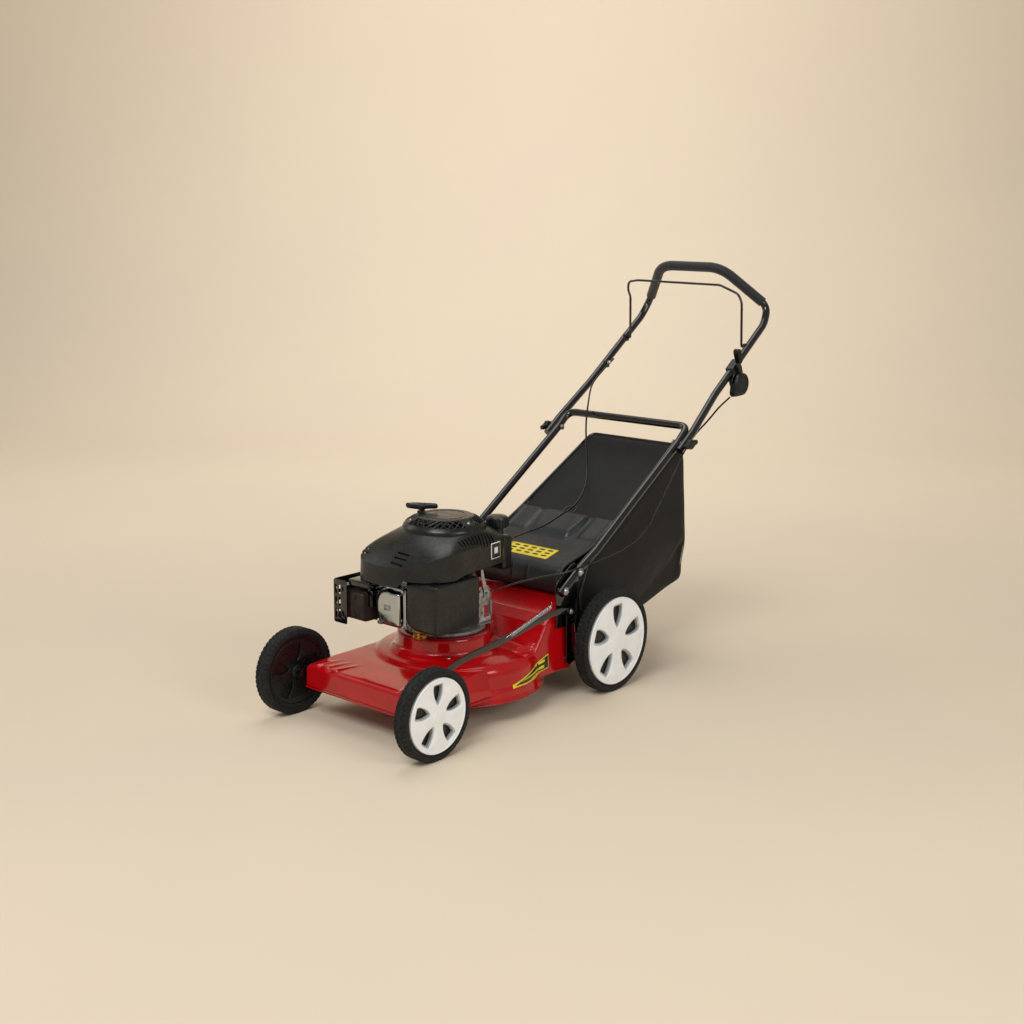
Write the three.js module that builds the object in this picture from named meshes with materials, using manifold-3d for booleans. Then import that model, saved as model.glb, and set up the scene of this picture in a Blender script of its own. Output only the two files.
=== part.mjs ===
// A walk-behind petrol lawn mower: pressed steel deck, vertical-shaft engine, rear bag, folding handle.
// Millimetres, +Z up. The front is -Y, the user stands at +Y, and +X is the mower's left side.
// Inside this file y = 0 is midway between the wheel centres; the last lines move the origin.
import * as THREE from "three";
import { ConvexGeometry } from "three/addons/geometries/ConvexGeometry.js";
import { mergeVertices } from "three/addons/utils/BufferGeometryUtils.js";
import Module from "manifold-3d";

const wasm = await Module();
wasm.setup();

// ---- driving dimensions -------------------------------------------------------------------
const WHEELBASE = 626;
const HALF_WIDTH = 244.5; // to the outer face of the wheel trims
const FRONT_WHEEL = { radius: 101.6, trim: 83.6 }; // 8 inch
const REAR_WHEEL = { radius: 127, trim: 108.2 }; // 10 inch
const TYRE_WIDTH = 36;
const SHEET = 2.5; // deck steel, drawn a little thicker than the real 1.5
const CHAMBER_RADIUS = 204;
const SHAFT_Y = -40; // crankshaft axis
const ENGINE_SEAT = 192; // top of the deck's drum
const BLADE_RADIUS = 184;
const FRONT_PIVOT = [-270, 112]; // y, z of the front cross rod
const REAR_PIVOT = [189, 99];
const FRONT_PIN = [-270, 72]; // where the link bar meets the front arm
const REAR_PIN = [183, 220];
const ARM_X = 190; // inner face of the axle arms
const LEG_X = 196; // lower handle leg
const TUBE = 10; // handle tube radius
const FOLD = [612, 574]; // y, z of the handle's fold bolts
const BAIL_PIVOT = [912, 797];
const FLAP_PIVOT = [224, 250];
const GAP = 0.3;

// ---- materials ----------------------------------------------------------------------------
const finish = (color, roughness, metalness = 0) =>
  new THREE.MeshStandardMaterial({ color, roughness, metalness });
const redEnamel = finish(0xb30d14, 0.22, 0.1);
const rubber = finish(0x1b1c1c, 0.8);
const blackPlastic = finish(0x17181a, 0.45);
const greyPlastic = finish(0x26282a, 0.5);
const whitePlastic = finish(0xe9ebea, 0.4);
const blackSteel = finish(0x101112, 0.25, 0.3);
const zinc = finish(0xb9bcc0, 0.35, 1);
const castAluminium = finish(0x8c8e90, 0.5, 1);
const chrome = finish(0xd5dadb, 0.12, 1);
const exhaustSteel = finish(0x4a3f39, 0.5, 0.8);
const brass = finish(0xb88a3c, 0.35, 1);
const fabric = finish(0x1d1e20, 0.9);
const foam = finish(0x2c2e30, 0.85);
const bladeSteel = finish(0x5b5f63, 0.4, 1);
const ceramic = finish(0xf0eee8, 0.3);

// ---- solids: joining, cutting and simple shapes ---------------------------------------------
function solidOf(geometry) {
  const flat = geometry.index ? geometry.toNonIndexed() : geometry;
  const bare = new THREE.BufferGeometry();
  bare.setAttribute("position", flat.getAttribute("position").clone());
  const merged = mergeVertices(bare, 1e-3);
  const corners = merged.index.array;
  const kept = [];
  for (let i = 0; i < corners.length; i += 3) {
    const [a, b, c] = [corners[i], corners[i + 1], corners[i + 2]];
    if (a !== b && b !== c && a !== c) kept.push(a, b, c);
  }
  const build = (triangles) =>
    new wasm.Manifold(
      new wasm.Mesh({
        numProp: 3,
        vertProperties: new Float32Array(merged.attributes.position.array),
        triVerts: new Uint32Array(triangles),
      }),
    );
  const made = build(kept);
  if (made.volume() > 0) return made;
  const turned = [];
  for (let i = 0; i < kept.length; i += 3) turned.push(kept[i], kept[i + 2], kept[i + 1]);
  return build(turned);
}

function geometryOf(solid) {
  const mesh = solid.getMesh();
  const geometry = new THREE.BufferGeometry();
  geometry.setAttribute("position", new THREE.BufferAttribute(mesh.vertProperties.slice(), 3));
  geometry.setIndex(new THREE.BufferAttribute(mesh.triVerts.slice(), 1));
  return geometry;
}

function join(...parts) {
  return geometryOf(parts.map(solidOf).reduce((sum, part) => sum.add(part)));
}

function cut(base, ...tools) {
  return geometryOf(tools.map(solidOf).reduce((rest, tool) => rest.subtract(tool), solidOf(base)));
}

function mirrored(geometry) {
  return geometryOf(solidOf(geometry.clone().scale(-1, 1, 1)));
}

function box([x0, y0, z0], [x1, y1, z1]) {
  const geometry = new THREE.BoxGeometry(x1 - x0, y1 - y0, z1 - z0);
  return geometry.translate((x0 + x1) / 2, (y0 + y1) / 2, (z0 + z1) / 2);
}

function rod(from, to, radius, sides = 12) {
  const start = new THREE.Vector3(...from);
  const along = new THREE.Vector3(...to).sub(start);
  const geometry = new THREE.CylinderGeometry(radius, radius, along.length(), sides);
  const turn = new THREE.Quaternion();
  turn.setFromUnitVectors(new THREE.Vector3(0, 1, 0), along.clone().normalize());
  const middle = start.addScaledVector(along, 0.5);
  return geometry.applyQuaternion(turn).translate(middle.x, middle.y, middle.z);
}

// A profile of [radius, height] pairs turned about the Z axis, or about X when axis is "x".
function turned(profile, sides = 24, axis = "z") {
  const points = profile.map(([radius, height]) => new THREE.Vector2(radius, height));
  const geometry = new THREE.LatheGeometry(points, sides);
  return axis === "x" ? geometry.rotateZ(-Math.PI / 2) : geometry.rotateX(Math.PI / 2);
}

function shapeOf(points) {
  return new THREE.Shape(points.map(([u, v]) => new THREE.Vector2(u, v)));
}

// An outline in (y, z) swept along X from one x to the other.
function plateX(points, from, to, holes = []) {
  const shape = shapeOf(points);
  for (const hole of holes) shape.holes.push(shapeOf(hole));
  const geometry = new THREE.ExtrudeGeometry(shape, { depth: to - from, bevelEnabled: false });
  const basis = new THREE.Matrix4().makeBasis(
    new THREE.Vector3(0, 1, 0),
    new THREE.Vector3(0, 0, 1),
    new THREE.Vector3(1, 0, 0),
  );
  return geometry.applyMatrix4(basis).translate(from, 0, 0);
}

// An outline in (x, z) swept along Y from one y to the other.
function plateY(points, from, to, holes = []) {
  const shape = shapeOf(points);
  for (const hole of holes) shape.holes.push(shapeOf(hole));
  const geometry = new THREE.ExtrudeGeometry(shape, { depth: to - from, bevelEnabled: false });
  return geometry.rotateX(Math.PI / 2).translate(0, to, 0);
}

// An outline in (x, y) swept up from one z to the other.
function plateZ(points, from, to, holes = []) {
  const shape = shapeOf(points);
  for (const hole of holes) shape.holes.push(shapeOf(hole));
  const geometry = new THREE.ExtrudeGeometry(shape, { depth: to - from, bevelEnabled: false });
  return geometry.translate(0, 0, from);
}

function circle([u, v], radius, sides = 12) {
  const points = [];
  for (let i = 0; i < sides; i++) {
    const angle = (2 * Math.PI * i) / sides;
    points.push([u + radius * Math.cos(angle), v + radius * Math.sin(angle)]);
  }
  return points;
}

function roundedRectangle([u0, v0], [u1, v1], radius, steps = 3) {
  const points = [];
  const centres = [
    [u1 - radius, v1 - radius],
    [u0 + radius, v1 - radius],
    [u0 + radius, v0 + radius],
    [u1 - radius, v0 + radius],
  ];
  centres.forEach(([u, v], quarter) => {
    for (let i = 0; i <= steps; i++) {
      const angle = (Math.PI / 2) * (quarter + i / steps);
      points.push([u + radius * Math.cos(angle), v + radius * Math.sin(angle)]);
    }
  });
  return points;
}

function hull(points) {
  return new ConvexGeometry(points.map((p) => new THREE.Vector3(...p)));
}

// Points given for the left side only, taken on both sides.
function bothSides(points) {
  return points.flatMap(([x, y, z]) => [
    [x, y, z],
    [-x, y, z],
  ]);
}

// A curve that steps through its stations one by one, so that straight runs need no extra sections.
class Stations extends THREE.Curve {
  constructor(points) {
    super();
    this.points = points;
  }
  getUtoTmapping(u) {
    return u;
  }
  getPoint(t) {
    const last = this.points.length - 1;
    const at = Math.min(Math.max(t, 0), 1) * last;
    const i = Math.min(Math.floor(at), last - 1);
    return this.points[i].clone().lerp(this.points[i + 1], at - i);
  }
}

// The corners of a bent tube's route replaced by arcs of the given bend radius.
function bent(corners, bend, steps = 4) {
  const route = corners.map((p) => new THREE.Vector3(...p));
  const stations = [route[0]];
  for (let i = 1; i < route.length - 1; i++) {
    const back = route[i - 1].clone().sub(route[i]);
    const ahead = route[i + 1].clone().sub(route[i]);
    const half = back.angleTo(ahead) / 2;
    const limit = 0.48 * Math.min(back.length(), ahead.length());
    const reach = Math.min(bend / Math.tan(half), limit);
    const start = route[i].clone().addScaledVector(back.normalize(), reach);
    const end = route[i].clone().addScaledVector(ahead.normalize(), reach);
    const arc = new THREE.QuadraticBezierCurve3(start, route[i], end);
    stations.push(...arc.getPoints(steps));
  }
  stations.push(route[route.length - 1]);
  return stations;
}

function tube(stations, radius, sides = 12) {
  const path = new Stations(stations);
  const section = shapeOf(circle([0, 0], radius, sides));
  return new THREE.ExtrudeGeometry(section, {
    steps: stations.length - 1,
    extrudePath: path,
    bevelEnabled: false,
  });
}

function smooth(points, count) {
  const curve = new THREE.CatmullRomCurve3(points.map((p) => new THREE.Vector3(...p)));
  return curve.getSpacedPoints(count);
}

// ---- the scene graph ----------------------------------------------------------------------
const mower = new THREE.Group();

function place(parent, name, geometry, material) {
  const mesh = new THREE.Mesh(geometry, material);
  mesh.name = name;
  parent.add(mesh);
}

// ---- wheels -------------------------------------------------------------------------------
const HUB_RADIUS = 15;
const SPINDLE = 6;

function tyre(radius, seat) {
  const half = TYRE_WIDTH / 2;
  const profile = [
    [seat, -half + 4],
    [radius - 10, -half],
    [radius - 3, -half + 3],
    [radius, -half + 9],
    [radius, half - 9],
    [radius - 3, half - 3],
    [radius - 10, half],
    [seat, half - 4],
    [seat, -half + 4],
  ];
  return turned(profile, 36, "x");
}

function rim(seat) {
  const bore = SPINDLE + GAP;
  const profile = [
    [bore, -16],
    [HUB_RADIUS, -16],
    [HUB_RADIUS + 3, -8],
    [seat - 9, -8],
    [seat - 7, -13.5],
    [seat - GAP, -13.5],
    [seat - GAP, 13],
    [seat - 6, 13],
    [seat - 8, -4],
    [HUB_RADIUS + 2, -4],
    [HUB_RADIUS, 12],
    [bore, 12],
    [bore, -16],
  ];
  return turned(profile, 18, "x");
}

// One window of the trim, a petal with its tip towards the hub: [share of the radius, half width].
const PETAL = [
  [0.31, 0.03],
  [0.42, 0.11],
  [0.58, 0.17],
  [0.74, 0.19],
  [0.85, 0.17],
];

function trimWindow(trim, turn) {
  const points = [...PETAL.map(([u, v]) => [u, -v]), ...PETAL.map(([u, v]) => [u, v]).reverse()];
  const [c, s] = [Math.cos(turn) * trim, Math.sin(turn) * trim];
  return points.map(([u, v]) => [u * c - v * s, u * s + v * c]);
}

function trimDisc(trim) {
  const windows = [];
  for (let i = 0; i < 5; i++) windows.push(trimWindow(trim, Math.PI / 2 + (2 * Math.PI * i) / 5));
  const disc = plateX(circle([0, 0], trim, 32), 15, 19.5, windows);
  return join(disc, turned([[0, 12.4], [13, 12.4], [13, 19.5], [0, 19.5]], 16, "x"));
}

function wheel(name, side, y, size) {
  const group = new THREE.Group();
  const seat = size.trim + 1;
  place(group, "tyre_" + name, tyre(size.radius, seat), rubber);
  place(group, "rim_" + name, rim(seat), blackPlastic);
  place(group, "wheel_trim_" + name, trimDisc(size.trim), whitePlastic);
  group.position.set(side * (HALF_WIDTH - 19.5), y, size.radius);
  group.rotation.z = side > 0 ? 0 : Math.PI;
  mower.add(group);
}

// ---- height adjustment: two cranked axles, a link bar, a spring and a lever -------------------
function axle([pivotY, pivotZ], wheelY, wheelZ) {
  const inner = HALF_WIDTH - 19.5 - 17;
  const parts = [rod([-ARM_X - 4, pivotY, pivotZ], [ARM_X + 4, pivotY, pivotZ], 6)];
  for (const side of [1, -1]) {
    const arm = hull([
      ...circle([pivotY, pivotZ], 11).map(([y, z]) => [side * ARM_X, y, z]),
      ...circle([pivotY, pivotZ], 11).map(([y, z]) => [side * (ARM_X + 4), y, z]),
      ...circle([wheelY, wheelZ], 10).map(([y, z]) => [side * ARM_X, y, z]),
      ...circle([wheelY, wheelZ], 10).map(([y, z]) => [side * (ARM_X + 4), y, z]),
    ]);
    const collar = rod([side * (ARM_X + 3), wheelY, wheelZ], [side * (inner - 1), wheelY, wheelZ], 10);
    const spindle = rod([side * (inner - 5), wheelY, wheelZ], [side * (HALF_WIDTH - 8), wheelY, wheelZ], SPINDLE);
    parts.push(arm, collar, spindle);
  }
  return join(...parts);
}

function pinArm([pivotY, pivotZ], [pinY, pinZ], pinEnd) {
  const ends = [circle([pivotY, pivotZ], 10), circle([pinY, pinZ], 8)].flat();
  const arm = hull([
    ...ends.map(([y, z]) => [ARM_X, y, z]),
    ...ends.map(([y, z]) => [ARM_X + 4, y, z]),
  ]);
  return join(arm, rod([ARM_X + 3, pinY, pinZ], [pinEnd, pinY, pinZ], 3));
}

function frontAxle() {
  const base = axle(FRONT_PIVOT, -WHEELBASE / 2, FRONT_WHEEL.radius);
  return join(base, pinArm(FRONT_PIVOT, FRONT_PIN, 203));
}

function rearAxle() {
  const base = axle(REAR_PIVOT, WHEELBASE / 2, REAR_WHEEL.radius);
  return join(base, pinArm(REAR_PIVOT, REAR_PIN, 203));
}

const LINK_X = [196, 200];

function linkBar() {
  const [inner, outer] = LINK_X;
  const centre = [REAR_PIN, [120, 228], [-40, 205], [-215, 182], [-258, 140], FRONT_PIN];
  const strips = centre.slice(1).map((point, i) => {
    const ends = [circle(centre[i], 8), circle(point, 8)].flat();
    return hull([...ends.map(([y, z]) => [inner, y, z]), ...ends.map(([y, z]) => [outer, y, z])]);
  });
  const [py, pz] = FRONT_PIN;
  const eye = rod([inner, py, pz], [outer, py, pz], 12.5, 16);
  const bar = join(...strips, eye);
  const rearHole = rod([inner - 1, ...REAR_PIN], [outer + 1, ...REAR_PIN], 3 + GAP);
  const frontSlot = rod([inner - 1, py, pz], [outer + 1, py, pz], 8, 16);
  return cut(bar, rearHole, frontSlot);
}

const SPRING = { start: [205.5, -48, 209], end: [205.5, 112, 252] };

function heightSpring() {
  return rod(SPRING.start, SPRING.end, 5, 10);
}

const LEVER_END = [104, 246];

function heightLever() {
  const [inner, outer] = [-ARM_X - 8.3, -ARM_X - 4.3];
  const ends = [circle(REAR_PIVOT, 11), circle(LEVER_END, 7)].flat();
  const strip = hull([...ends.map(([y, z]) => [inner, y, z]), ...ends.map(([y, z]) => [outer, y, z])]);
  const grip = rod([outer, ...LEVER_END], [-236, ...LEVER_END], 11);
  return join(strip, grip);
}

function leverQuadrant() {
  const [y0, z0] = REAR_PIVOT;
  const middle = Math.atan2(LEVER_END[1] - z0, LEVER_END[0] - y0);
  const outline = [];
  for (let i = 0; i <= 8; i++) {
    const angle = middle - 0.26 + (0.52 * i) / 8;
    outline.push([y0 + 128 * Math.cos(angle), z0 + 128 * Math.sin(angle)]);
  }
  for (let i = 8; i >= 0; i--) {
    const angle = middle - 0.26 + (0.52 * i) / 8;
    outline.push([y0 + 92 * Math.cos(angle), z0 + 92 * Math.sin(angle)]);
  }
  const plate = plateX(outline, -189.6, -187.2);
  const foot = box([-188, 118, 150], [-172, 150, 172]);
  return cut(join(plate, foot), rearShape(0.4));
}

// ---- deck ---------------------------------------------------------------------------------
// Each body of the pressing, grown or shrunk by an offset: 0 outside, -SHEET inside.
function chamberShape(offset, low) {
  const inside = offset < 0;
  const r = CHAMBER_RADIUS + offset;
  const lip = inside ? r : r + 4;
  const profile = [
    [0, low],
    [lip, low],
    [lip, 56],
    [r + 1, 57.5],
    [r, 80 + offset],
    [r - 3.5, 82 + offset],
    [r - 5, 116],
    [r - 9, 130 + offset / 2],
    [r - 18, 139 + offset],
    [r - 54, 146 + offset],
    [127 + offset, 148 + offset],
    [0, 148 + offset],
  ];
  return turned(profile, 40);
}

function frontShape(offset, low) {
  return hull(
    bothSides([
      [186 + offset, -312 - offset, low],
      [186 + offset, 10, low],
      [186 + offset, -309 - offset, 119 + offset],
      [181 + offset, -303 - offset, 127 + offset],
      [176 + offset, -200, 140 + offset],
      [168 + offset, 10, 146 + offset],
    ]),
  );
}

function rearShape(offset, low = 72) {
  return hull(
    bothSides([
      [183 + offset, 20, low],
      [183 + offset, 206 + offset, low],
      [181 + offset, 232 + offset, 112],
      [178 + offset, 92, 157 + offset],
      [174 + offset, 120, 192 + offset],
      [167 + offset, 150, 210 + offset],
      [178 + offset, 226, 192 + offset],
      [158 + offset, 232 + offset, 236 + offset],
      [80, 232 + offset, 240 + offset],
    ]),
  );
}

function drumShape(offset, low) {
  const profile = [
    [0, low],
    [132 + offset, low],
    [127 + offset, 148.5 + offset],
    [118 + offset, 152 + offset],
    [113 + offset, 160],
    [112 + offset, ENGINE_SEAT - 2 + offset],
    [110 + offset, ENGINE_SEAT + offset],
    [0, ENGINE_SEAT + offset],
  ];
  return turned(profile, 32).translate(0, SHAFT_Y, 0);
}

function deck() {
  const lip = box([-189.5, -315.5, 69], [189.5, -70, 72.5]);
  const ear = box([154, 214, 228], [159, 234, 257]);
  const outside = join(
    chamberShape(0, 52),
    frontShape(0, 69),
    rearShape(0),
    drumShape(0, 140),
    lip,
    ear,
    mirrored(ear),
  );
  const below = 40;
  const inside = join(
    chamberShape(-SHEET, below),
    frontShape(-SHEET, below),
    rearShape(-SHEET, below),
    drumShape(-SHEET, 120),
  );
  const discharge = box([-150, 180, 118], [150, 250, 226]);
  const behindLip = box([-140, 120, 40], [140, 240, 71.9]);
  const shaftHole = rod([0, SHAFT_Y, 150], [0, SHAFT_Y, 220], 32, 24);
  const crossHoles = [FRONT_PIVOT, REAR_PIVOT].map((at) => rod([-210, ...at], [210, ...at], 6.6));
  const rodHole = rod([-170, ...FLAP_PIVOT], [170, ...FLAP_PIVOT], 3.9);
  return cut(outside, inside, discharge, behindLip, shaftHole, rodHole, ...crossHoles);
}

// ---- handle brackets, lower and upper handle -------------------------------------------------
const TUBE_WALL = 1.5;
const LEG_FOOT = [157, 276];
const LOCK_BOLT = [211, 312];

function handleBracket() {
  const outline = [
    [142, 262],
    [150, 178],
    [228, 178],
    [228, 262],
    [233, 316],
    [216, 332],
    [196, 326],
    [146, 292],
  ];
  const plate = plateX(outline, 181.5, 184.5);
  const foot = box([165, 160, 178], [182, 218, 206]);
  const body = cut(join(plate, foot), rearShape(0.4));
  const studs = [LEG_FOOT, LOCK_BOLT].map((at) => rod([184, ...at], [209, ...at], 4));
  const head = [LEG_FOOT, LOCK_BOLT].map((at) => rod([206.4, ...at], [212, ...at], 8, 6));
  return join(body, ...studs, ...head);
}

function legRoute(side) {
  return [
    [side * LEG_X, 148, 269],
    [side * LEG_X, 215, 315],
    [side * LEG_X, 285, 353],
    [side * LEG_X, 407, 436],
    [side * LEG_X, ...FOLD],
    [side * LEG_X, 656, 611],
  ];
}

function hollowTube(stations) {
  return cut(tube(stations, TUBE, 10), tube(stations, TUBE - TUBE_WALL, 8));
}

function lowerHandle() {
  const route = [...legRoute(1), ...legRoute(-1).reverse()];
  const frame = hollowTube(bent(route, 48, 4));
  const holes = [LEG_FOOT, LOCK_BOLT, FOLD].map((at) => rod([-220, ...at], [220, ...at], 4.4));
  return cut(frame, ...holes);
}

const UPPER_X = LEG_X + 2 * TUBE + 0.8;

function upperRoute(side) {
  return [
    [side * UPPER_X, 590, 557.9],
    [side * UPPER_X, 642, 596],
    [side * 205, 760, 684],
    [side * 203, 990, 853],
    [side * 195, 1018, 898],
    [side * 98, 932, 1001],
  ];
}

function upperHandle() {
  const route = [...upperRoute(1), ...upperRoute(-1).reverse()];
  const frame = hollowTube(bent(route, 34, 4));
  return cut(frame, rod([-240, ...FOLD], [240, ...FOLD], 4.4));
}

// The foam sleeve covers the hoop from just above the last bend of one leg to the other's.
function gripFoam() {
  const top = bent([...upperRoute(1).slice(3), ...upperRoute(-1).slice(3).reverse()], 34, 4);
  const sleeve = top.slice(3, top.length - 3);
  return cut(tube(sleeve, TUBE + 4, 12), tube(top, TUBE + GAP + 0.2, 10));
}

function foldKnob() {
  const wings = hull([
    ...circle([FOLD[0], FOLD[1]], 9, 8).map(([y, z]) => [228, y, z]),
    [231, FOLD[0] - 21, FOLD[1] - 4],
    [231, FOLD[0] + 21, FOLD[1] + 4],
    [240, FOLD[0] - 22, FOLD[1] - 4],
    [240, FOLD[0] + 22, FOLD[1] + 4],
    [242, FOLD[0] - 12, FOLD[1] + 5],
    [242, FOLD[0] + 12, FOLD[1] - 5],
  ]);
  return join(wings, rod([181, ...FOLD], [229, ...FOLD], 4), rod([179, ...FOLD], [185.4, ...FOLD], 8, 8));
}

// ---- controls on the handle ------------------------------------------------------------------
function bailRoute(side) {
  return [
    [side * 192.4, ...BAIL_PIVOT],
    [side * 184, ...BAIL_PIVOT],
    [side * 184, 906, 918],
    [side * 118, 896, 962],
  ];
}

function bail() {
  const route = [...bailRoute(1), ...bailRoute(-1).reverse()];
  return tube(bent(route, 12, 3), 3.2, 8);
}

const THROTTLE_PIVOT = [846, 706];

function throttleBox() {
  const [y, z] = THROTTLE_PIVOT;
  const shell = hull([
    ...circle([y, z], 33, 16).map(([a, b]) => [216, a, b]),
    ...circle([y - 22, z - 20], 14, 10).map(([a, b]) => [216, a, b]),
    ...circle([y, z], 30, 16).map(([a, b]) => [236, a, b]),
    ...circle([y - 22, z - 20], 11, 10).map(([a, b]) => [232, a, b]),
  ]);
  const slot = hull([
    [221, y - 40, z],
    [228, y - 40, z],
    [221, y + 40, z + 6],
    [228, y + 40, z + 6],
    [221, y - 40, z + 50],
    [228, y - 40, z + 50],
    [221, y + 40, z + 50],
    [228, y + 40, z + 50],
  ]);
  const lug = box([200, y + 4, z + 2], [217, y + 24, z + 20]);
  return cut(join(shell, lug), slot);
}

function throttleLever() {
  const [y, z] = THROTTLE_PIVOT;
  const stem = hull([
    ...circle([y, z + 12], 4, 8).flatMap(([a, b]) => [
      [222, a, b],
      [227, a, b],
    ]),
    [222, y - 15, z + 66],
    [227, y - 15, z + 66],
    [222, y - 5, z + 66],
    [227, y - 5, z + 66],
  ]);
  const knob = hull([
    ...circle([y - 9, z + 62], 8, 10).flatMap(([a, b]) => [
      [217, a, b],
      [234, a, b],
    ]),
    ...circle([y - 18, z + 86], 9, 10).flatMap(([a, b]) => [
      [218, a, b],
      [234, a, b],
    ]),
  ]);
  return join(stem, knob);
}

// ---- control cables ---------------------------------------------------------------------------
const CABLE_RADIUS = 2.5;
const BRAKE_CABLE = [
  [-188, 842, 742],
  [-187, 790, 712],
  [-178, 735, 681],
  [-125, 650, 641],
  [-95, 604, 582],
  [-40, 542, 485],
  [5, 472, 446],
  [20, 418, 418],
  [25, 349, 400],
  [22, 292, 384],
  [15, 243, 376],
  [8, 196, 368],
  [0, 150, 354],
  [-20, 127, 328],
  [-44, 116, 302],
  [-62, 90, 274],
];
const THROTTLE_CABLE = [
  [222, 806, 674],
  [217, 764, 651],
  [214, 720, 622],
  [213, 660, 588],
  [212, 604, 538],
  [212, 560, 486],
  [212, 519, 437],
  [211, 458, 372],
  [210, 377, 343],
  [209.4, 279, 331],
  [208, 206, 325],
  [196, 160, 318],
  [165, 112, 311],
  [130, 60, 300],
  [103, 14, 287],
];

function cable(points) {
  return tube(smooth(points, 50), CABLE_RADIUS, 8);
}

// ---- rear flap and bag ------------------------------------------------------------------------
const FLAP_HALF = 149.5;

function flap() {
  const outline = [
    [217, 246],
    [209, 262],
    [207, 284],
    [213, 302],
    [228, 313],
    [322, 338],
    [419, 390],
    [417.6, 393.2],
    [320.8, 341.4],
    [226.6, 316.2],
    [210.2, 304.4],
    [203.8, 285],
    [205.8, 261],
    [214.4, 244.4],
  ];
  const panel = plateX(outline, -FLAP_HALF, FLAP_HALF);
  const bump = hull(
    bothSides([
      [62, 336, 343],
      [76, 400, 378],
      [70, 412, 385],
      [40, 352, 364],
      [58, 400, 392],
      [56, 410, 396],
    ]),
  );
  const hollow = hull(
    bothSides([
      [60, 330, 330],
      [73, 398, 374],
      [67, 416, 380],
      [38, 350, 355],
      [55, 396, 385],
      [53, 409, 391],
    ]),
  );
  const [y, z] = FLAP_PIVOT;
  const sleeves = [-1, 1].flatMap((side) => [
    rod([side * 95, y, z], [side * 135, y, z], 7.5),
    box([side * 115 - 20, 212, 247], [side * 115 + 20, 221, 256]),
  ]);
  const bores = rod([-160, y, z], [160, y, z], 4);
  return cut(join(cut(join(panel, bump), hollow), ...sleeves), bores);
}

function flapRod() {
  return rod([-163, ...FLAP_PIVOT], [163, ...FLAP_PIVOT], 3.5);
}

function bagFrame() {
  const outline = roundedRectangle([-158, 104], [158, 236], 14);
  const mouth = roundedRectangle([-148, 114], [148, 226], 8);
  const ring = plateY(outline, 234.5, 254, [mouth]);
  const hook = hull(
    bothSides([
      [12, 236, 235],
      [12, 252, 235],
      [10, 240, 240],
      [10, 250, 240],
    ]),
  );
  return join(ring, hook);
}

function bagTube() {
  const side = (s) => [
    [s * 163, 262, 200],
    [s * 163, 262, 240],
    [s * 162, 300, 330],
    [s * 159, 416, 388],
    [s * 142, 690, 553],
  ];
  return tube(bent([...side(1), ...side(-1).reverse()], 22, 3), 4, 8);
}

// The grass bag: a wedge that follows the handle's slope on top and hangs down behind the wheels.
function bagShape(inset) {
  const open = inset > 0 ? 40 : 0;
  return hull(
    bothSides([
      [156 - inset, 254.4 - open, 108 + inset],
      [156 - inset, 254.4 - open, 232 - inset],
      [156 - inset, 300, 318 - inset],
      [150 - inset, 416, 376 - inset],
      [130 - inset, 684 - inset, 540 - inset],
      [146 - inset, 706 - inset, 512 - inset],
      [147 - inset, 734 - inset, 200 + inset],
      [143 - inset, 722 - inset, 190 + inset],
      [147 - inset, 569, 138 + inset],
      [152 - inset, 400, 108 + inset],
    ]),
  );
}

function bagFabric() {
  const mouthSide = box([-200, 200, 60], [200, 254.4, 400]);
  return cut(bagShape(0), bagShape(2.5), mouthSide);
}

// ---- engine, drawn about the crankshaft axis ---------------------------------------------------
const SHAFT = 12.5;
const DIPSTICK_AT = [-82, 30];

function crankcase() {
  const profile = [
    [0, ENGINE_SEAT + GAP],
    [95, ENGINE_SEAT + GAP],
    [95, 202],
    [74, 206],
    [72, 214],
    [72, 326],
    [60, 340],
    [0, 345],
  ];
  const feet = [0, 1, 2].map((i) => {
    const angle = Math.PI / 6 + (2 * Math.PI * i) / 3;
    const at = [88 * Math.cos(angle), 88 * Math.sin(angle)];
    return rod([...at, ENGINE_SEAT + GAP], [...at, 214], 9);
  });
  const brakeLug = box([-68, 56, ENGINE_SEAT + GAP], [-54, 82, 202]);
  const brakePost = rod([-62, 75, 200], [-62, 75, 239.7], 7);
  const filler = rod([...DIPSTICK_AT, ENGINE_SEAT + GAP], [...DIPSTICK_AT, 261.7], 9);
  const body = join(turned(profile, 32), ...feet, brakeLug, brakePost, filler);
  const fillerBore = rod([...DIPSTICK_AT, 206], [...DIPSTICK_AT, 270], 4.5);
  return cut(body, fillerBore, rod([0, 0, 150], [0, 0, 400], SHAFT + GAP, 16));
}

function cylinderBlock() {
  const parts = [box([-46, -146, 240], [2, -30, 300])];
  for (let i = 0; i < 6; i++) {
    const z = 233 + 12.5 * i;
    parts.push(box([-62, -138, z], [18, -40, z + 5]));
  }
  parts.push(box([-64, -146, 230], [18, -126, 306]));
  return cut(join(...parts), rod([0, 0, 150], [0, 0, 400], 72.4, 32));
}

function valveCover() {
  const rimOutline = roundedRectangle([-66, 226], [24, 316], 14);
  const crown = roundedRectangle([-56, 236], [14, 306], 16);
  return join(plateY(rimOutline, -152, -146.3), plateY(crown, -167, -151));
}

function muffler() {
  return join(
    box([-155, -184, 224], [-73, -110, 302]),
    box([-120, -194, 224], [-73, -180, 302]),
    rod([-74, -129, 264], [-64.4, -129, 264], 12),
  );
}

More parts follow.
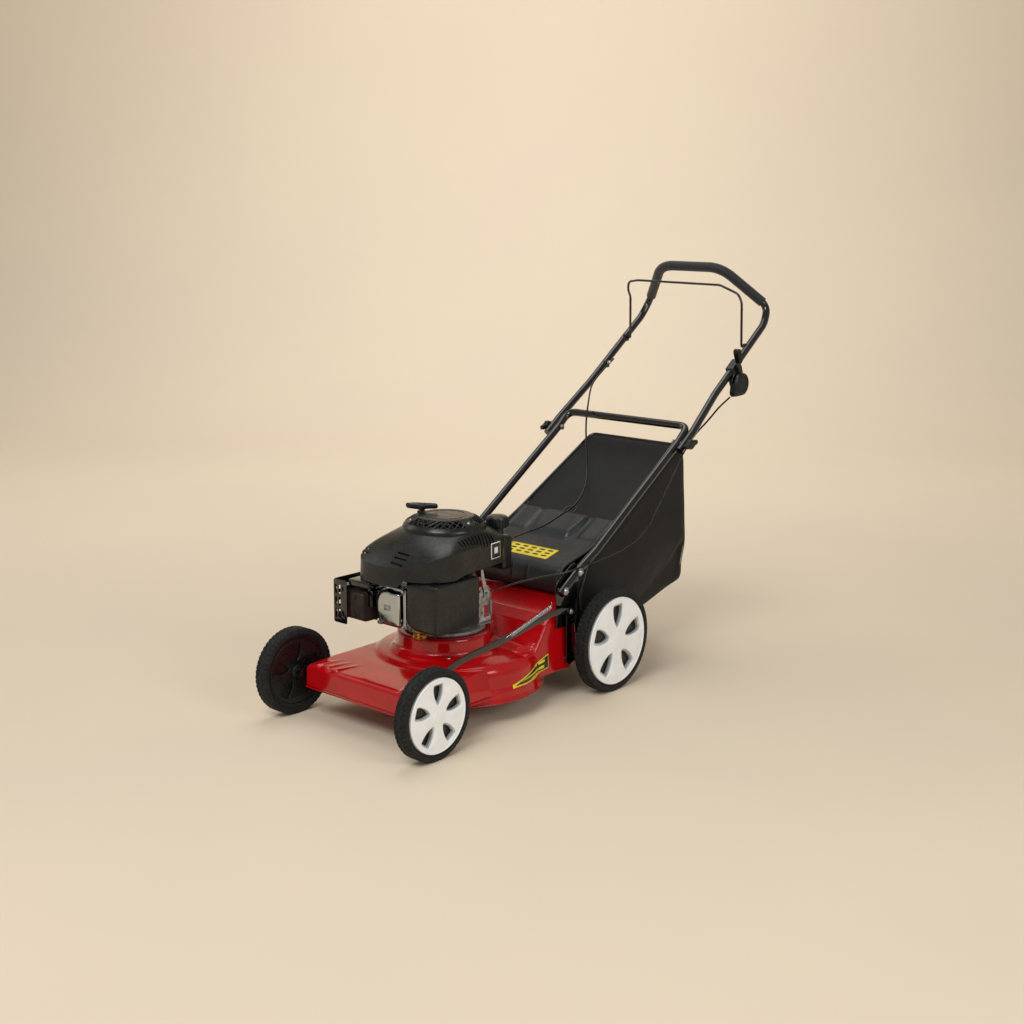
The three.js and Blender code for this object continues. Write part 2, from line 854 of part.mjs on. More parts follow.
function mufflerGuard() {
  const frontSlots = [];
  const sideSlots = [];
  for (let i = 0; i < 4; i++) {
    const z = 230 + 22 * i;
    frontSlots.push(roundedRectangle([-156, z], [-132, z + 10], 4, 2));
    sideSlots.push(roundedRectangle([-180, z], [-130, z + 10], 4, 2));
  }
  const front = plateY(roundedRectangle([-166, 215], [-122, 318], 6, 2), -198, -196, frontSlots);
  const side = plateX(roundedRectangle([-198, 215], [-108, 318], 6, 2), -166, -164, sideSlots);
  const roof = box([-166, -198, 306.4], [-74, -108, 308.4]);
  const tab = box([-76, -144, 306.4], [-50, -128, 308.4]);
  return join(front, side, roof, tab);
}

function airFilterBox() {
  const outline = [
    [36, 240],
    [60, 228],
    [124, 228],
    [130, 234],
    [130, 332],
    [122, 340],
    [42, 340],
    [36, 334],
  ];
  const shell = plateY(outline, -166, -17);
  const cavity = box([30, -150, 244], [124, -24, 330]);
  return cut(shell, cavity, rod([0, 0, 180], [0, 0, 360], 76, 24));
}

function carburettor() {
  return join(
    rod([18.4, -120, 262], [60, -120, 262], 13),
    box([24, -142, 246], [35.4, -100, 276]),
    box([24, -150, 214], [35.4, -112, 250]),
    box([24, -150, 214], [64, -120, 226]),
    rod([52, -134, 196], [52, -134, 220], 17),
  );
}

function controlBracket() {
  const outline = [
    [6, 214],
    [46, 214],
    [52, 226],
    [52, 296],
    [46, 302],
    [12, 302],
    [4, 292],
    [4, 226],
  ];
  const plate = plateX(outline, 98, 100.4, [roundedRectangle([28, 228], [44, 256], 5, 2)]);
  const foot = cut(box([50, 8, 214], [98.5, 46, 219]), rod([0, 0, 180], [0, 0, 300], 72.4, 32));
  return join(plate, foot, rod([100, 30, 286], [107.4, 30, 286], 3));
}

const THROTTLE_ARM_PIVOT = [30, 286];

function throttleArm() {
  const [y, z] = THROTTLE_ARM_PIVOT;
  const outline = [
    [y - 6, z - 10],
    [y + 6, z - 10],
    [y + 7, z + 4],
    [y - 6, z + 40],
    [y - 10, z + 58],
    [y - 18, z + 58],
    [y - 16, z + 38],
    [y - 6, z + 6],
  ];
  return plateX(outline, 101, 103.4, [circle([y, z], 3 + GAP)]);
}

const BRAKE_ARM_PIVOT = [-62, 108];

function brakeArm() {
  const [x, y] = BRAKE_ARM_PIVOT;
  const strip = plateZ(
    [
      [x - 7, y - 40],
      [x + 7, y - 40],
      [x + 8, y + 26],
      [x - 8, y + 26],
    ],
    262,
    265,
  );
  return join(strip, rod([x, y - 33, 240], [x, y - 33, 264], 5), rod([x, y + 20, 262], [x, y + 20, 270], 4));
}

const SHROUD_RING = [
  [44, -179, 374],
  [120, -115, 404],
  [114, 0, 408],
  [84, 112, 410],
  [-75, 112, 409],
  [-112, 60, 408],
  [-116, -110, 402],
  [-92, -179, 374],
];

function shroudShape(inset) {
  const points = [];
  for (const [x, y, z] of SHROUD_RING) {
    const shrink = 1 - inset / Math.hypot(x, y);
    points.push([x * shrink, y * shrink, inset > 0 ? 330 : 350]);
    points.push([x * shrink * 0.985, y * shrink * 0.985, z - inset]);
  }
  for (const [x, y] of circle([0, 0], 98 - inset, 24)) points.push([x, y, 432 - inset]);
  return hull(points);
}

function blowerShroud() {
  return cut(shroudShape(0), shroudShape(SHEET), rod([0, 0, 400], [0, 0, 450], 80, 24));
}

function recoilHousing() {
  const profile = [
    [92, 432.3],
    [97, 432.3],
    [97, 437],
    [89, 449],
    [68, 460],
    [0, 462],
    [0, 459.4],
    [67, 457.4],
    [87, 447],
    [92, 437],
    [92, 432.3],
  ];
  const post = rod([0, 0, 434], [0, 0, 460.5], 8);
  const boss = rod([-62, -12, 448], [-62, -12, 464], 11);
  const body = join(turned(profile, 26), post, boss);
  return cut(body, rod([-62, -12, 440], [-62, -12, 470], 4));
}

function starterPulley() {
  const profile = [
    [8.4, 436],
    [50, 436],
    [52, 438],
    [46, 441],
    [52, 444],
    [50, 446],
    [8.4, 446],
    [8.4, 436],
  ];
  return turned(profile, 24);
}

function starterHandle() {
  const grip = hull([
    ...circle([-12, 476], 7, 8).map(([y, z]) => [-88, y - 22, z]),
    ...circle([-12, 475], 9, 8).map(([y, z]) => [-70, y - 7, z]),
    ...circle([-12, 475], 7, 8).map(([y, z]) => [-36, y + 22, z]),
  ]);
  return join(grip, rod([-62, -12, 464.4], [-62, -12, 472], 8, 10));
}

function starterRope() {
  return rod([-62, -12, 441], [-62, -12, 464], 2.5, 8);
}

function fuelTank() {
  const body = plateX(roundedRectangle([114.5, 318], [150, 402], 10), -76, 82);
  return join(body, rod([44, 134.5, 400], [44, 134.5, 417], 15, 16));
}

function fuelCap() {
  const skirt = [
    [0, 417.4],
    [27, 417.4],
    [28, 421],
    [28, 438],
    [24, 444],
    [0, 446],
  ];
  return turned(skirt, 24).translate(44, 134.5, 0);
}

function dipstick() {
  const profile = [
    [0, 212],
    [2.5, 212],
    [2.5, 262],
    [14, 262],
    [14, 272],
    [8, 276],
    [0, 276],
  ];
  return turned(profile, 14).translate(...DIPSTICK_AT, 0);
}

function sparkPlug() {
  const profile = [
    [0, 306.4],
    [9, 306.4],
    [9, 316],
    [6, 318],
    [6, 334],
    [0, 340],
  ];
  return turned(profile, 12).translate(-22, -132, 0);
}

function flywheel() {
  const profile = [
    [SHAFT + GAP, 352],
    [86, 352],
    [86, 372],
    [60, 376],
    [60, 392],
    [24, 396],
    [SHAFT + GAP, 396],
    [SHAFT + GAP, 352],
  ];
  return turned(profile, 24);
}

function bladeAdapter() {
  const profile = [
    [SHAFT + GAP, 84],
    [28, 84],
    [28, 90],
    [20, 94],
    [20, 118],
    [SHAFT + GAP, 118],
    [SHAFT + GAP, 84],
  ];
  return turned(profile, 16);
}

function blade() {
  const half = BLADE_RADIUS - 1;
  const flat = plateZ(
    [
      [-half, -22],
      [half - 70, -26],
      [half, -14],
      [half, 22],
      [-half + 70, 26],
      [-half, 14],
    ],
    79,
    83.4,
  );
  const wing = (side) =>
    hull([
      [side * half, side * 12, 80],
      [side * (half - 66), side * 12, 80],
      [side * half, side * 22, 83.4],
      [side * (half - 66), side * 25, 83.4],
      [side * half, side * 22, 94],
      [side * (half - 60), side * 24, 90],
    ]);
  return cut(join(flat, wing(1), wing(-1)), rod([0, 0, 70], [0, 0, 90], 6));
}

function bladeBolt() {
  return join(
    rod([0, 0, 68], [0, 0, 76], 9, 6),
    rod([0, 0, 75], [0, 0, 78.7], 20, 16),
    rod([0, 0, 78], [0, 0, 99.6], 5, 10),
  );
}

function engine() {
  const group = new THREE.Group();
  place(group, "crankcase", crankcase(), castAluminium);
  place(group, "cylinder_block", cylinderBlock(), castAluminium);
  place(group, "valve_cover", valveCover(), chrome);
  place(group, "muffler", muffler(), exhaustSteel);
  place(group, "muffler_guard", mufflerGuard(), blackSteel);
  place(group, "carburettor", carburettor(), brass);
  place(group, "air_filter_box", airFilterBox(), blackPlastic);
  place(group, "control_bracket", controlBracket(), zinc);
  place(group, "throttle_arm", throttleArm(), zinc);
  place(group, "brake_arm", brakeArm(), zinc);
  place(group, "spark_plug", sparkPlug(), ceramic);
  place(group, "blower_shroud", blowerShroud(), blackPlastic);
  place(group, "recoil_housing", recoilHousing(), blackPlastic);
  place(group, "starter_pulley", starterPulley(), greyPlastic);
  place(group, "starter_handle", starterHandle(), blackPlastic);
  place(group, "starter_rope", starterRope(), fabric);
  place(group, "fuel_tank", fuelTank(), blackPlastic);
  place(group, "fuel_cap", fuelCap(), blackPlastic);
  place(group, "dipstick", dipstick(), blackPlastic);
  place(group, "flywheel", flywheel(), castAluminium);
  place(group, "crankshaft", rod([0, 0, 100], [0, 0, 412], SHAFT, 16), bladeSteel);
  place(group, "blade_adapter", bladeAdapter(), castAluminium);
  place(group, "blade", blade(), bladeSteel);
  place(group, "blade_bolt", bladeBolt(), zinc);
  group.position.y = SHAFT_Y;
  mower.add(group);
}

// ---- the whole mower ----------------------------------------------------------------------------
wheel("front_left", 1, -WHEELBASE / 2, FRONT_WHEEL);
wheel("front_right", -1, -WHEELBASE / 2, FRONT_WHEEL);
wheel("rear_left", 1, WHEELBASE / 2, REAR_WHEEL);
wheel("rear_right", -1, WHEELBASE / 2, REAR_WHEEL);
place(mower, "front_axle", frontAxle(), blackSteel);
place(mower, "rear_axle", rearAxle(), blackSteel);
place(mower, "link_bar", linkBar(), blackSteel);
place(mower, "height_spring", heightSpring(), zinc);
place(mower, "height_lever", heightLever(), blackSteel);
place(mower, "lever_quadrant", leverQuadrant(), blackSteel);
place(mower, "deck_shell", deck(), redEnamel);
place(mower, "handle_bracket_left", handleBracket(), blackSteel);
place(mower, "handle_bracket_right", mirrored(handleBracket()), blackSteel);
place(mower, "lower_handle", lowerHandle(), blackSteel);
place(mower, "upper_handle", upperHandle(), blackSteel);
place(mower, "grip_foam", gripFoam(), foam);
place(mower, "fold_knob_left", foldKnob(), blackPlastic);
place(mower, "fold_knob_right", mirrored(foldKnob()), blackPlastic);
place(mower, "bail", bail(), blackSteel);
place(mower, "throttle_box", throttleBox(), blackPlastic);
place(mower, "throttle_lever", throttleLever(), blackPlastic);
place(mower, "brake_cable", cable(BRAKE_CABLE), blackPlastic);
place(mower, "throttle_cable", cable(THROTTLE_CABLE), blackPlastic);
place(mower, "rear_flap", flap(), greyPlastic);
place(mower, "flap_rod", flapRod(), zinc);
place(mower, "bag_frame", bagFrame(), greyPlastic);
place(mower, "bag_tube", bagTube(), blackSteel);
place(mower, "bag_fabric", bagFabric(), fabric);
engine();

// The origin lies on the ground under the middle of the mower's length.
const extent = new THREE.Box3().setFromObject(mower);
mower.position.y = -(extent.min.y + extent.max.y) / 2;

const part = new THREE.Group();
part.add(mower);
export default part;
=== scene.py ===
"""A walk-behind petrol lawn mower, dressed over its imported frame.

Shapes are written in millimetres in the mower's own layout: x to its left side, y towards the user from
the middle of the wheelbase, z up from the ground. new_mesh() turns them into metres in the frame's axes.
"""

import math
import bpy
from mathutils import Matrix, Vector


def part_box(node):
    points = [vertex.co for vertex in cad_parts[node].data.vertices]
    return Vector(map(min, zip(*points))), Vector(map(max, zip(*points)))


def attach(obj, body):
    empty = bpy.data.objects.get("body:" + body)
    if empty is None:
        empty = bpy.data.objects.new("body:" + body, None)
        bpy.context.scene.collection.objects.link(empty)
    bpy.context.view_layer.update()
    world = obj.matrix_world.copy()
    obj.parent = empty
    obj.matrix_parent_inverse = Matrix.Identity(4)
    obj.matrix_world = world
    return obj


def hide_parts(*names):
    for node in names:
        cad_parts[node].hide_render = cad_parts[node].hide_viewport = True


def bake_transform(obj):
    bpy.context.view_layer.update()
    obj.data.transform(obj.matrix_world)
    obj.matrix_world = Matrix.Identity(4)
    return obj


bl_info = {
    "name": "Petrol Lawn Mower",
    "version": (1, 0, 0),
    "blender": (4, 5, 0),
    "location": "View3D > Sidebar > Mower",
    "description": "Builds the visual model of a walk-behind lawn mower around its frame",
    "category": "Object",
}

import bmesh
import bpy
from bpy.props import FloatProperty, FloatVectorProperty, IntProperty, PointerProperty
from mathutils import Matrix, Vector
from mathutils.bvhtree import BVHTree

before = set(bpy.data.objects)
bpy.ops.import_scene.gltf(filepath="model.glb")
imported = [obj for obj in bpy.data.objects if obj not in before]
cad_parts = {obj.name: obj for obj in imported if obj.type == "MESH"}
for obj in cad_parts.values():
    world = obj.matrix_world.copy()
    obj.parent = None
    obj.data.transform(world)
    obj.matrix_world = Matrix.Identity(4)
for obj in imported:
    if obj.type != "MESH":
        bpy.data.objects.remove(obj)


# ---- sizes that come from the frame ----


def node_centre(name):
    low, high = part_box(name)
    return (low + high) / 2


MM = 0.001
MID_WHEELBASE = (node_centre("tyre_front_left").y + node_centre("tyre_rear_left").y) / 2
SHAFT_Y = -40  # the crankshaft's axis, in the mower's own layout
WHEELS = ("front_left", "front_right", "rear_left", "rear_right")
SIDES = (-1, 1)  # the mower's right and left
DECK_WALL, SHROUD_WALL, FLAP_WALL, FABRIC_WALL, FILM = 2.0, 2.6, 3.0, 1.4, 0.12  # thicknesses in millimetres
TUBE_RADIUS = 10  # of both handle tubes


def at(x, y, z):
    """A place in the mower's layout, in millimetres, as a point of the frame in metres."""
    return Vector((x * MM, y * MM + MID_WHEELBASE, z * MM))


def in_layout(point):
    """A point of the frame in metres, as millimetres in the mower's layout."""
    return Vector((point.x / MM, (point.y - MID_WHEELBASE) / MM, point.z / MM))


# ---- shapes: lists of points and faces in millimetres ----


class Shape:
    """Points and faces that can be added together, moved and turned before they become a mesh."""

    def __init__(self, points=(), faces=()):
        self.points = [Vector(p) for p in points]
        self.faces = [tuple(f) for f in faces]

    def __add__(self, other):
        first = len(self.points)
        faces = self.faces + [tuple(i + first for i in face) for face in other.faces]
        return Shape(self.points + other.points, faces)

    def __radd__(self, other):
        return self if other == 0 else other + self

    def moved(self, x=0, y=0, z=0):
        return Shape([p + Vector((x, y, z)) for p in self.points], self.faces)

    def turned(self, degrees, axis="Z"):
        turn = Matrix.Rotation(math.radians(degrees), 3, axis)
        return Shape([turn @ p for p in self.points], self.faces)

    def mapped(self, change):
        return Shape([change(p) for p in self.points], self.faces)

    def mirrored(self):
        faces = [tuple(reversed(face)) for face in self.faces]
        return Shape([Vector((-p.x, p.y, p.z)) for p in self.points], faces)


def from_bmesh(bm):
    bm.verts.index_update()
    faces = [[v.index for v in f.verts] for f in bm.faces]
    made = Shape([v.co.copy() for v in bm.verts], faces)
    bm.free()
    return made


def to_bmesh(shape):
    bm = bmesh.new()
    verts = [bm.verts.new(p) for p in shape.points]
    for face in shape.faces:
        if len(set(face)) > 2:
            try:
                bm.faces.new([verts[i] for i in face])
            except ValueError:  # the same face twice
                continue
    return bm


def hull(points):
    bm = bmesh.new()
    for point in points:
        bm.verts.new(point)
    made = bmesh.ops.convex_hull(bm, input=bm.verts)
    spare = [e for e in made["geom_interior"] + made["geom_unused"] if isinstance(e, bmesh.types.BMVert)]
    bmesh.ops.delete(bm, geom=list(set(spare)), context="VERTS")
    bmesh.ops.recalc_face_normals(bm, faces=bm.faces)
    return from_bmesh(bm)


def both_sides(points):
    return [(s * x, y, z) for x, y, z in points for s in (1, -1)]


def revolve(profile, segments=48, axis="z"):
    """A profile of (radius, height) pairs turned about an axis. It ends on the axis or meets itself."""
    closed = profile[0] == profile[-1]
    rings = profile[:-1] if closed else profile
    points, index = [], []
    for radius, height in rings:
        count = segments if radius > 1e-6 else 1
        index.append([len(points) + i for i in range(count)])
        for i in range(count):
            angle = 2 * math.pi * i / segments
            u, v = radius * math.cos(angle), radius * math.sin(angle)
            points.append((u, v, height) if axis == "z" else (height, u, v))
    faces = []
    pairs = list(zip(index, index[1:] + ([index[0]] if closed else [])))
    if not closed:
        pairs = pairs[: len(index) - 1]
    for lower, upper in pairs:
        for i in range(segments):
            j = (i + 1) % segments
            a, b = lower[i % len(lower)], lower[j % len(lower)]
            c, d = upper[j % len(upper)], upper[i % len(upper)]
            corners = list(dict.fromkeys((a, b, c, d)))
            if len(corners) > 2:
                faces.append(corners)
    bm = to_bmesh(Shape(points, faces))
    bmesh.ops.recalc_face_normals(bm, faces=bm.faces)
    return from_bmesh(bm)


def circle(u, v, radius, count=24):
    turn = 2 * math.pi / count
    return [(u + radius * math.cos(i * turn), v + radius * math.sin(i * turn)) for i in range(count)]


def rounded(low, high, radius):
    """The outline of a rectangle with round corners."""
    steps = 6
    outline = []
    centres = (
        (high[0] - radius, high[1] - radius),
        (low[0] + radius, high[1] - radius),
        (low[0] + radius, low[1] + radius),
        (high[0] - radius, low[1] + radius),
    )
    for quarter, (u, v) in enumerate(centres):
        for i in range(steps + 1):
            angle = math.pi / 2 * (quarter + i / steps)
            outline.append((u + radius * math.cos(angle), v + radius * math.sin(angle)))
    return outline


AXES = {  # which way an outline's u and v, and its thickness, lie
    "x": lambda u, v, w: (w, u, v),
    "y": lambda u, v, w: (u, w, v),
    "z": lambda u, v, w: (u, v, w),
}


def slab(outline, low, high, axis="z", holes=(), round_off=0.8, steps=2):
    """A flat plate with holes and rounded edges: an outline made thick from low to high along an axis."""
    curve = bpy.data.curves.new("outline", "CURVE")
    curve.dimensions = "2D"
    curve.fill_mode = "BOTH"
    for points in (outline, *holes):
        spline = curve.splines.new("POLY")
        spline.points.add(len(points) - 1)
        for point, (u, v) in zip(spline.points, points):
            point.co = (u, v, 0, 1)
        spline.use_cyclic_u = True
    curve.bevel_depth = min(round_off, (high - low) / 2 - 0.01)
    curve.bevel_resolution = steps
    curve.offset = -curve.bevel_depth
    curve.extrude = (high - low) / 2 - curve.bevel_depth
    thing = bpy.data.objects.new("outline", curve)
    bpy.context.scene.collection.objects.link(thing)
    mesh = bpy.data.meshes.new_from_object(thing.evaluated_get(bpy.context.evaluated_depsgraph_get()))
    bm = bmesh.new()
    bm.from_mesh(mesh)
    bpy.data.objects.remove(thing)
    bpy.data.curves.remove(curve)
    bpy.data.meshes.remove(mesh)
    bmesh.ops.remove_doubles(bm, verts=bm.verts, dist=0.01)
    middle = (low + high) / 2
    for vert in bm.verts:
        u, v, w = vert.co
        vert.co = AXES[axis](u, v, w + middle)
    bmesh.ops.recalc_face_normals(bm, faces=bm.faces)
    return from_bmesh(bm)


def box(low, high, round_off=1.0, steps=2):
    bm = bmesh.new()
    bmesh.ops.create_cube(bm, size=1)
    size = Vector(high) - Vector(low)
    centre = (Vector(high) + Vector(low)) / 2
    for vert in bm.verts:
        vert.co = Vector([c * s for c, s in zip(vert.co, size)]) + centre
    if round_off:
        width = min(round_off, min(size) * 0.49)
        bmesh.ops.bevel(bm, geom=bm.edges, offset=width, segments=steps, profile=0.5, affect="EDGES")
    return from_bmesh(bm)


def sweep(path, radius, sides=16):
    """A round tube along a path, with its section carried on from point to point so that it never twists."""
    path = [Vector(p) for p in path]
    radii = radius if hasattr(radius, "__len__") else [radius] * len(path)
    count = len(path)
    points, faces, normal = [], [], None
    for i, point in enumerate(path):
        before = path[i - 1] if i else point
        after = path[i + 1] if i < count - 1 else point
        along = (after - before).normalized()
        if normal is None:
            normal = along.orthogonal().normalized()
        normal = (normal - along * normal.dot(along)).normalized()
        side = along.cross(normal)
        for k in range(sides):
            angle = 2 * math.pi * k / sides
            points.append(point + (normal * math.cos(angle) + side * math.sin(angle)) * radii[i])
    for i in range(count - 1):
        for k in range(sides):
            m = (k + 1) % sides
            faces.append((i * sides + k, i * sides + m, (i + 1) * sides + m, (i + 1) * sides + k))
    faces.append(tuple(reversed(range(sides))))
    faces.append(tuple((count - 1) * sides + k for k in range(sides)))
    return Shape(points, faces)


def rod(start, end, radius, sides=24, round_off=0.6):
    """A cylinder with eased ends."""
    a, b = Vector(start), Vector(end)
    along = (b - a).normalized() * min(round_off, radius * 0.4)
    eased = radius - along.length
    return sweep([a, a + along, b - along, b], [eased, radius, radius, eased], sides)


def rod_stack(start, direction, steps, sides=24):
    """Stacked cylinders along a direction: (length, radius) pairs, for bolts and turned fittings."""
    point = Vector(start)
    direction = Vector(direction).normalized()
    made = Shape()
    for length, radius in steps:
        made += rod(point, point + direction * length, radius, sides)
        point = point + direction * (length - 0.3)
    return made


def dome_bolt(start, direction, radius=6):
    """A dome-headed bolt on a washer, its head standing out along a direction."""
    direction = Vector(direction).normalized()
    base = Vector(start)
    profile = [(1.25, 0.0), (1.25, 0.16), (1.0, 0.2), (0.95, 0.42), (0.72, 0.66), (0.38, 0.8), (0.04, 0.84)]
    path = [base + direction * (h * radius) for _, h in profile]
    return sweep(path, [r * radius for r, _ in profile], 20)


def bent(corners, bend, steps=8):
    """A bent tube's route: its corners become arcs of the given radius."""
    route = [Vector(c) for c in corners]
    made = [route[0]]
    for before, corner, after in zip(route, route[1:], route[2:]):
        back, ahead = before - corner, after - corner
        reach = min(bend / math.tan(back.angle(ahead) / 2), 0.48 * min(back.length, ahead.length))
        start, end = corner + back.normalized() * reach, corner + ahead.normalized() * reach
        for i in range(steps + 1):
            t = i / steps
            made.append(start * (1 - t) ** 2 + corner * 2 * t * (1 - t) + end * t * t)
    return made + [route[-1]]


def curve_point(a, b, c, d, t):
    """A place between b and c on the smooth curve that runs through a, b, c and d."""
    return 0.5 * (2 * b + (c - a) * t + (2 * a - 5 * b + 4 * c - d) * t * t + (3 * b - a - 3 * c + d) * t**3)


def smooth_route(points, spacing=8):
    """A smooth curve through the points, as a list of places about spacing apart."""
    knots = [Vector(p) for p in points]
    knots = [knots[0] * 2 - knots[1], *knots, knots[-1] * 2 - knots[-2]]
    made = []
    for a, b, c, d in zip(knots, knots[1:], knots[2:], knots[3:]):
        steps = max(2, int((c - b).length / spacing))
        for i in range(steps):
            t = i / steps
            made.append(curve_point(a, b, c, d, t))
    return made + [knots[-2]]


def closed_route(points):
    """A smooth closed curve through the points."""
    steps = 12
    knots = [Vector(p) for p in points]
    made = []
    for i in range(len(knots)):
        a, b, c, d = (knots[(i + k) % len(knots)] for k in (-1, 0, 1, 2))
        for j in range(steps):
            t = j / steps
            made.append(curve_point(a, b, c, d, t))
    return made


def smooth_step(value, low, high):
    t = min(1.0, max(0.0, (value - low) / (high - low)))
    return t * t * (3 - 2 * t)


# ---- from shapes to pieces ----


def new_mesh(name, shape):
    """A mesh in the frame's metres, with doubles merged."""
    bm = to_bmesh(shape)
    bmesh.ops.remove_doubles(bm, verts=bm.verts, dist=0.002)
    for vert in bm.verts:
        vert.co = at(*vert.co)
    mesh = bpy.data.meshes.new(name)
    bm.to_mesh(mesh)
    bm.free()
    return mesh


def link(name, mesh):
    thing = bpy.data.objects.new(name, mesh)
    bpy.context.scene.collection.objects.link(thing)
    return thing


def evaluated_mesh(thing):
    """The mesh that an object's modifiers make. The object is removed."""
    graph = bpy.context.evaluated_depsgraph_get()
    mesh = bpy.data.meshes.new_from_object(thing.evaluated_get(graph))
    old = thing.data
    bpy.data.objects.remove(thing)
    if old.users == 0:
        bpy.data.meshes.remove(old)
    return mesh


def shade(mesh, sharp=38):
    mesh.shade_smooth()
    mesh.set_sharp_from_angle(angle=math.radians(sharp))


def piece(name, shape, finish, body, stands_for=(), sharp=38, ease=0.0):
    """Makes a piece of the mower that rides on a body, and hides the frame nodes it stands for."""
    mesh = shape if isinstance(shape, bpy.types.Mesh) else new_mesh(name, shape)
    thing = link(name, mesh)
    mesh.materials.clear()
    mesh.materials.append(material(finish))
    shade(mesh, sharp)
    if ease:
        bevel = thing.modifiers.new("Eased edges", "BEVEL")
        bevel.width = ease * MM
        bevel.segments = 2
        bevel.limit_method = "ANGLE"
        bevel.angle_limit = math.radians(40)
    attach(thing, body)
    if stands_for:
        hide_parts(*stands_for)
    return thing


def moulded(name, shape, voxel, rounds, cutters=None):
    """Overlapping closed shapes fused into one skin with soft corners, as pressing or moulding leaves."""
    thing = link(name, new_mesh(name, shape))
    fuse = thing.modifiers.new("Fuse", "REMESH")
    fuse.mode = "VOXEL"
    fuse.voxel_size = voxel * MM
    ease = thing.modifiers.new("Ease", "SMOOTH")
    ease.factor = 0.5
    ease.iterations = rounds
    mesh = evaluated_mesh(thing)
    if cutters is not None:
        mesh = carved(mesh, cutters)
    return mesh


def carved(mesh, cutters):
    """The mesh with the cutters' shapes taken out of it."""
    thing = link("body", mesh)
    tool = link("cutter", new_mesh("cutter", cutters))
    take = thing.modifiers.new("Take out", "BOOLEAN")
    take.operation = "DIFFERENCE"
    take.solver = "EXACT"
    take.use_self = True
    take.object = tool
    made = evaluated_mesh(thing)
    bpy.data.objects.remove(tool)
    return made


def skin_of(mesh):
    """What tells where a finished surface lies, for a film or a seam that follows it."""
    return BVHTree.FromPolygons(
        [v.co.copy() for v in mesh.vertices], [tuple(p.vertices) for p in mesh.polygons]
    )


def film_on(skin, corner, across, up, size, proud=0.3, steps=8):
    """A thin film laid on a surface: a grid from a corner along two directions, pushed onto the skin."""
    points, faces = [], []
    across, up = Vector(across).normalized(), Vector(up).normalized()
    for i in range(steps + 1):
        for k in range(steps + 1):
            p = Vector(corner) + across * (size[0] * k / steps) + up * (size[1] * i / steps)
            near, normal, _, _ = skin.find_nearest(at(*p))
            q = near + normal * proud * MM
            points.append(in_layout(q))
    n = steps + 1
    for i in range(steps):
        for k in range(steps):
            faces.append((i * n + k, i * n + k + 1, (i + 1) * n + k + 1, (i + 1) * n + k))
    return Shape(points, faces)


def drop_faces(mesh, unwanted):
    """Opens a shell: removes the faces whose centre (mm, mower's layout) and normal the test names."""
    bm = bmesh.new()
    bm.from_mesh(mesh)
    doomed = []
    for face in bm.faces:
        if unwanted(in_layout(face.calc_center_median()), face.normal):
            doomed.append(face)
    bmesh.ops.delete(bm, geom=doomed, context="FACES")
    bm.to_mesh(mesh)
    bm.free()
    return mesh


def thicken(thing, wall):
    """Gives an open shell its wall, inwards from the skin."""
    solid = thing.modifiers.new("Wall", "SOLIDIFY")
    solid.thickness = wall * MM
    solid.offset = -1
    return thing


# ---- node trees ----


def linear(colour):
    """An sRGB hex colour, such as "B30D14", as linear red, green, blue and alpha."""
    parts = [int(colour[i : i + 2], 16) / 255 for i in (0, 2, 4)]
    return (*(c / 12.92 if c <= 0.04045 else ((c + 0.055) / 1.055) ** 2.4 for c in parts), 1.0)


def maths(tree, operation, *values):
    """The result of a math node on values or other nodes' outputs."""
    return add(tree, "ShaderNodeMath", dict(enumerate(values)), operation=operation).outputs["Value"]


def add(tree, kind, inputs=None, **settings):
    """Adds a node to a tree, with its settings and its inputs: values, or other nodes' outputs."""
    node = tree.nodes.new(kind)
    for name, value in settings.items():
        setattr(node, name, value)
    for name, value in (inputs or {}).items():
        socket = node.inputs[name]
        if isinstance(value, bpy.types.NodeSocket):
            tree.links.new(value, socket)
        else:
            socket.default_value = value
    return node


def new_material(name, colour, roughness, metallic=0.0, **sockets):
    """A material with a Principled BSDF whose uniform values stand on its own sockets."""
    material = bpy.data.materials.new(name)
    material.use_nodes = True
    tree = material.node_tree
    tree.nodes.clear()
    shader = add(
        tree,
        "ShaderNodeBsdfPrincipled",
        {"Base Color": linear(colour), "Roughness": roughness, "Metallic": metallic, **sockets},
    )
    out = add(tree, "ShaderNodeOutputMaterial")
    tree.links.new(shader.outputs["BSDF"], out.inputs["Surface"])
    material.diffuse_color = linear(colour)
    return material, tree, shader


def noise(tree, size_mm, detail=3.0, stretch=(1, 1, 1)):
    """Noise on object coordinates whose features are about size_mm across."""
    place = add(tree, "ShaderNodeTexCoord")
    scaled = add(tree, "ShaderNodeMapping", {"Vector": place.outputs["Object"], "Scale": stretch})
    scale = 1000.0 / size_mm
    return add(
        tree, "ShaderNodeTexNoise", {"Vector": scaled.outputs["Vector"], "Scale": scale, "Detail": detail}
    ).outputs["Fac"]


def vary_roughness(tree, shader, fac, low, high):
    spread = add(
        tree, "ShaderNodeMapRange",
        {"Value": fac, "From Min": 0.3, "From Max": 0.7, "To Min": low, "To Max": high}
    )
    tree.links.new(spread.outputs["Result"], shader.inputs["Roughness"])


def vary_colour(tree, shader, fac, first, second):
    ramp = add(tree, "ShaderNodeValToRGB", {"Fac": fac})
    ramp.color_ramp.elements[0].position = 0.35
    ramp.color_ramp.elements[1].position = 0.68
    ramp.color_ramp.elements[0].color = linear(first)
    ramp.color_ramp.elements[1].color = linear(second)
    tree.links.new(ramp.outputs["Color"], shader.inputs["Base Color"])


def raise_bumps(tree, shader, height, depth_mm, strength=1.0):
    bump = add(tree, "ShaderNodeBump", {"Height": height, "Distance": depth_mm * MM, "Strength": strength})
    tree.links.new(bump.outputs["Normal"], shader.inputs["Normal"])


# ---- materials ----


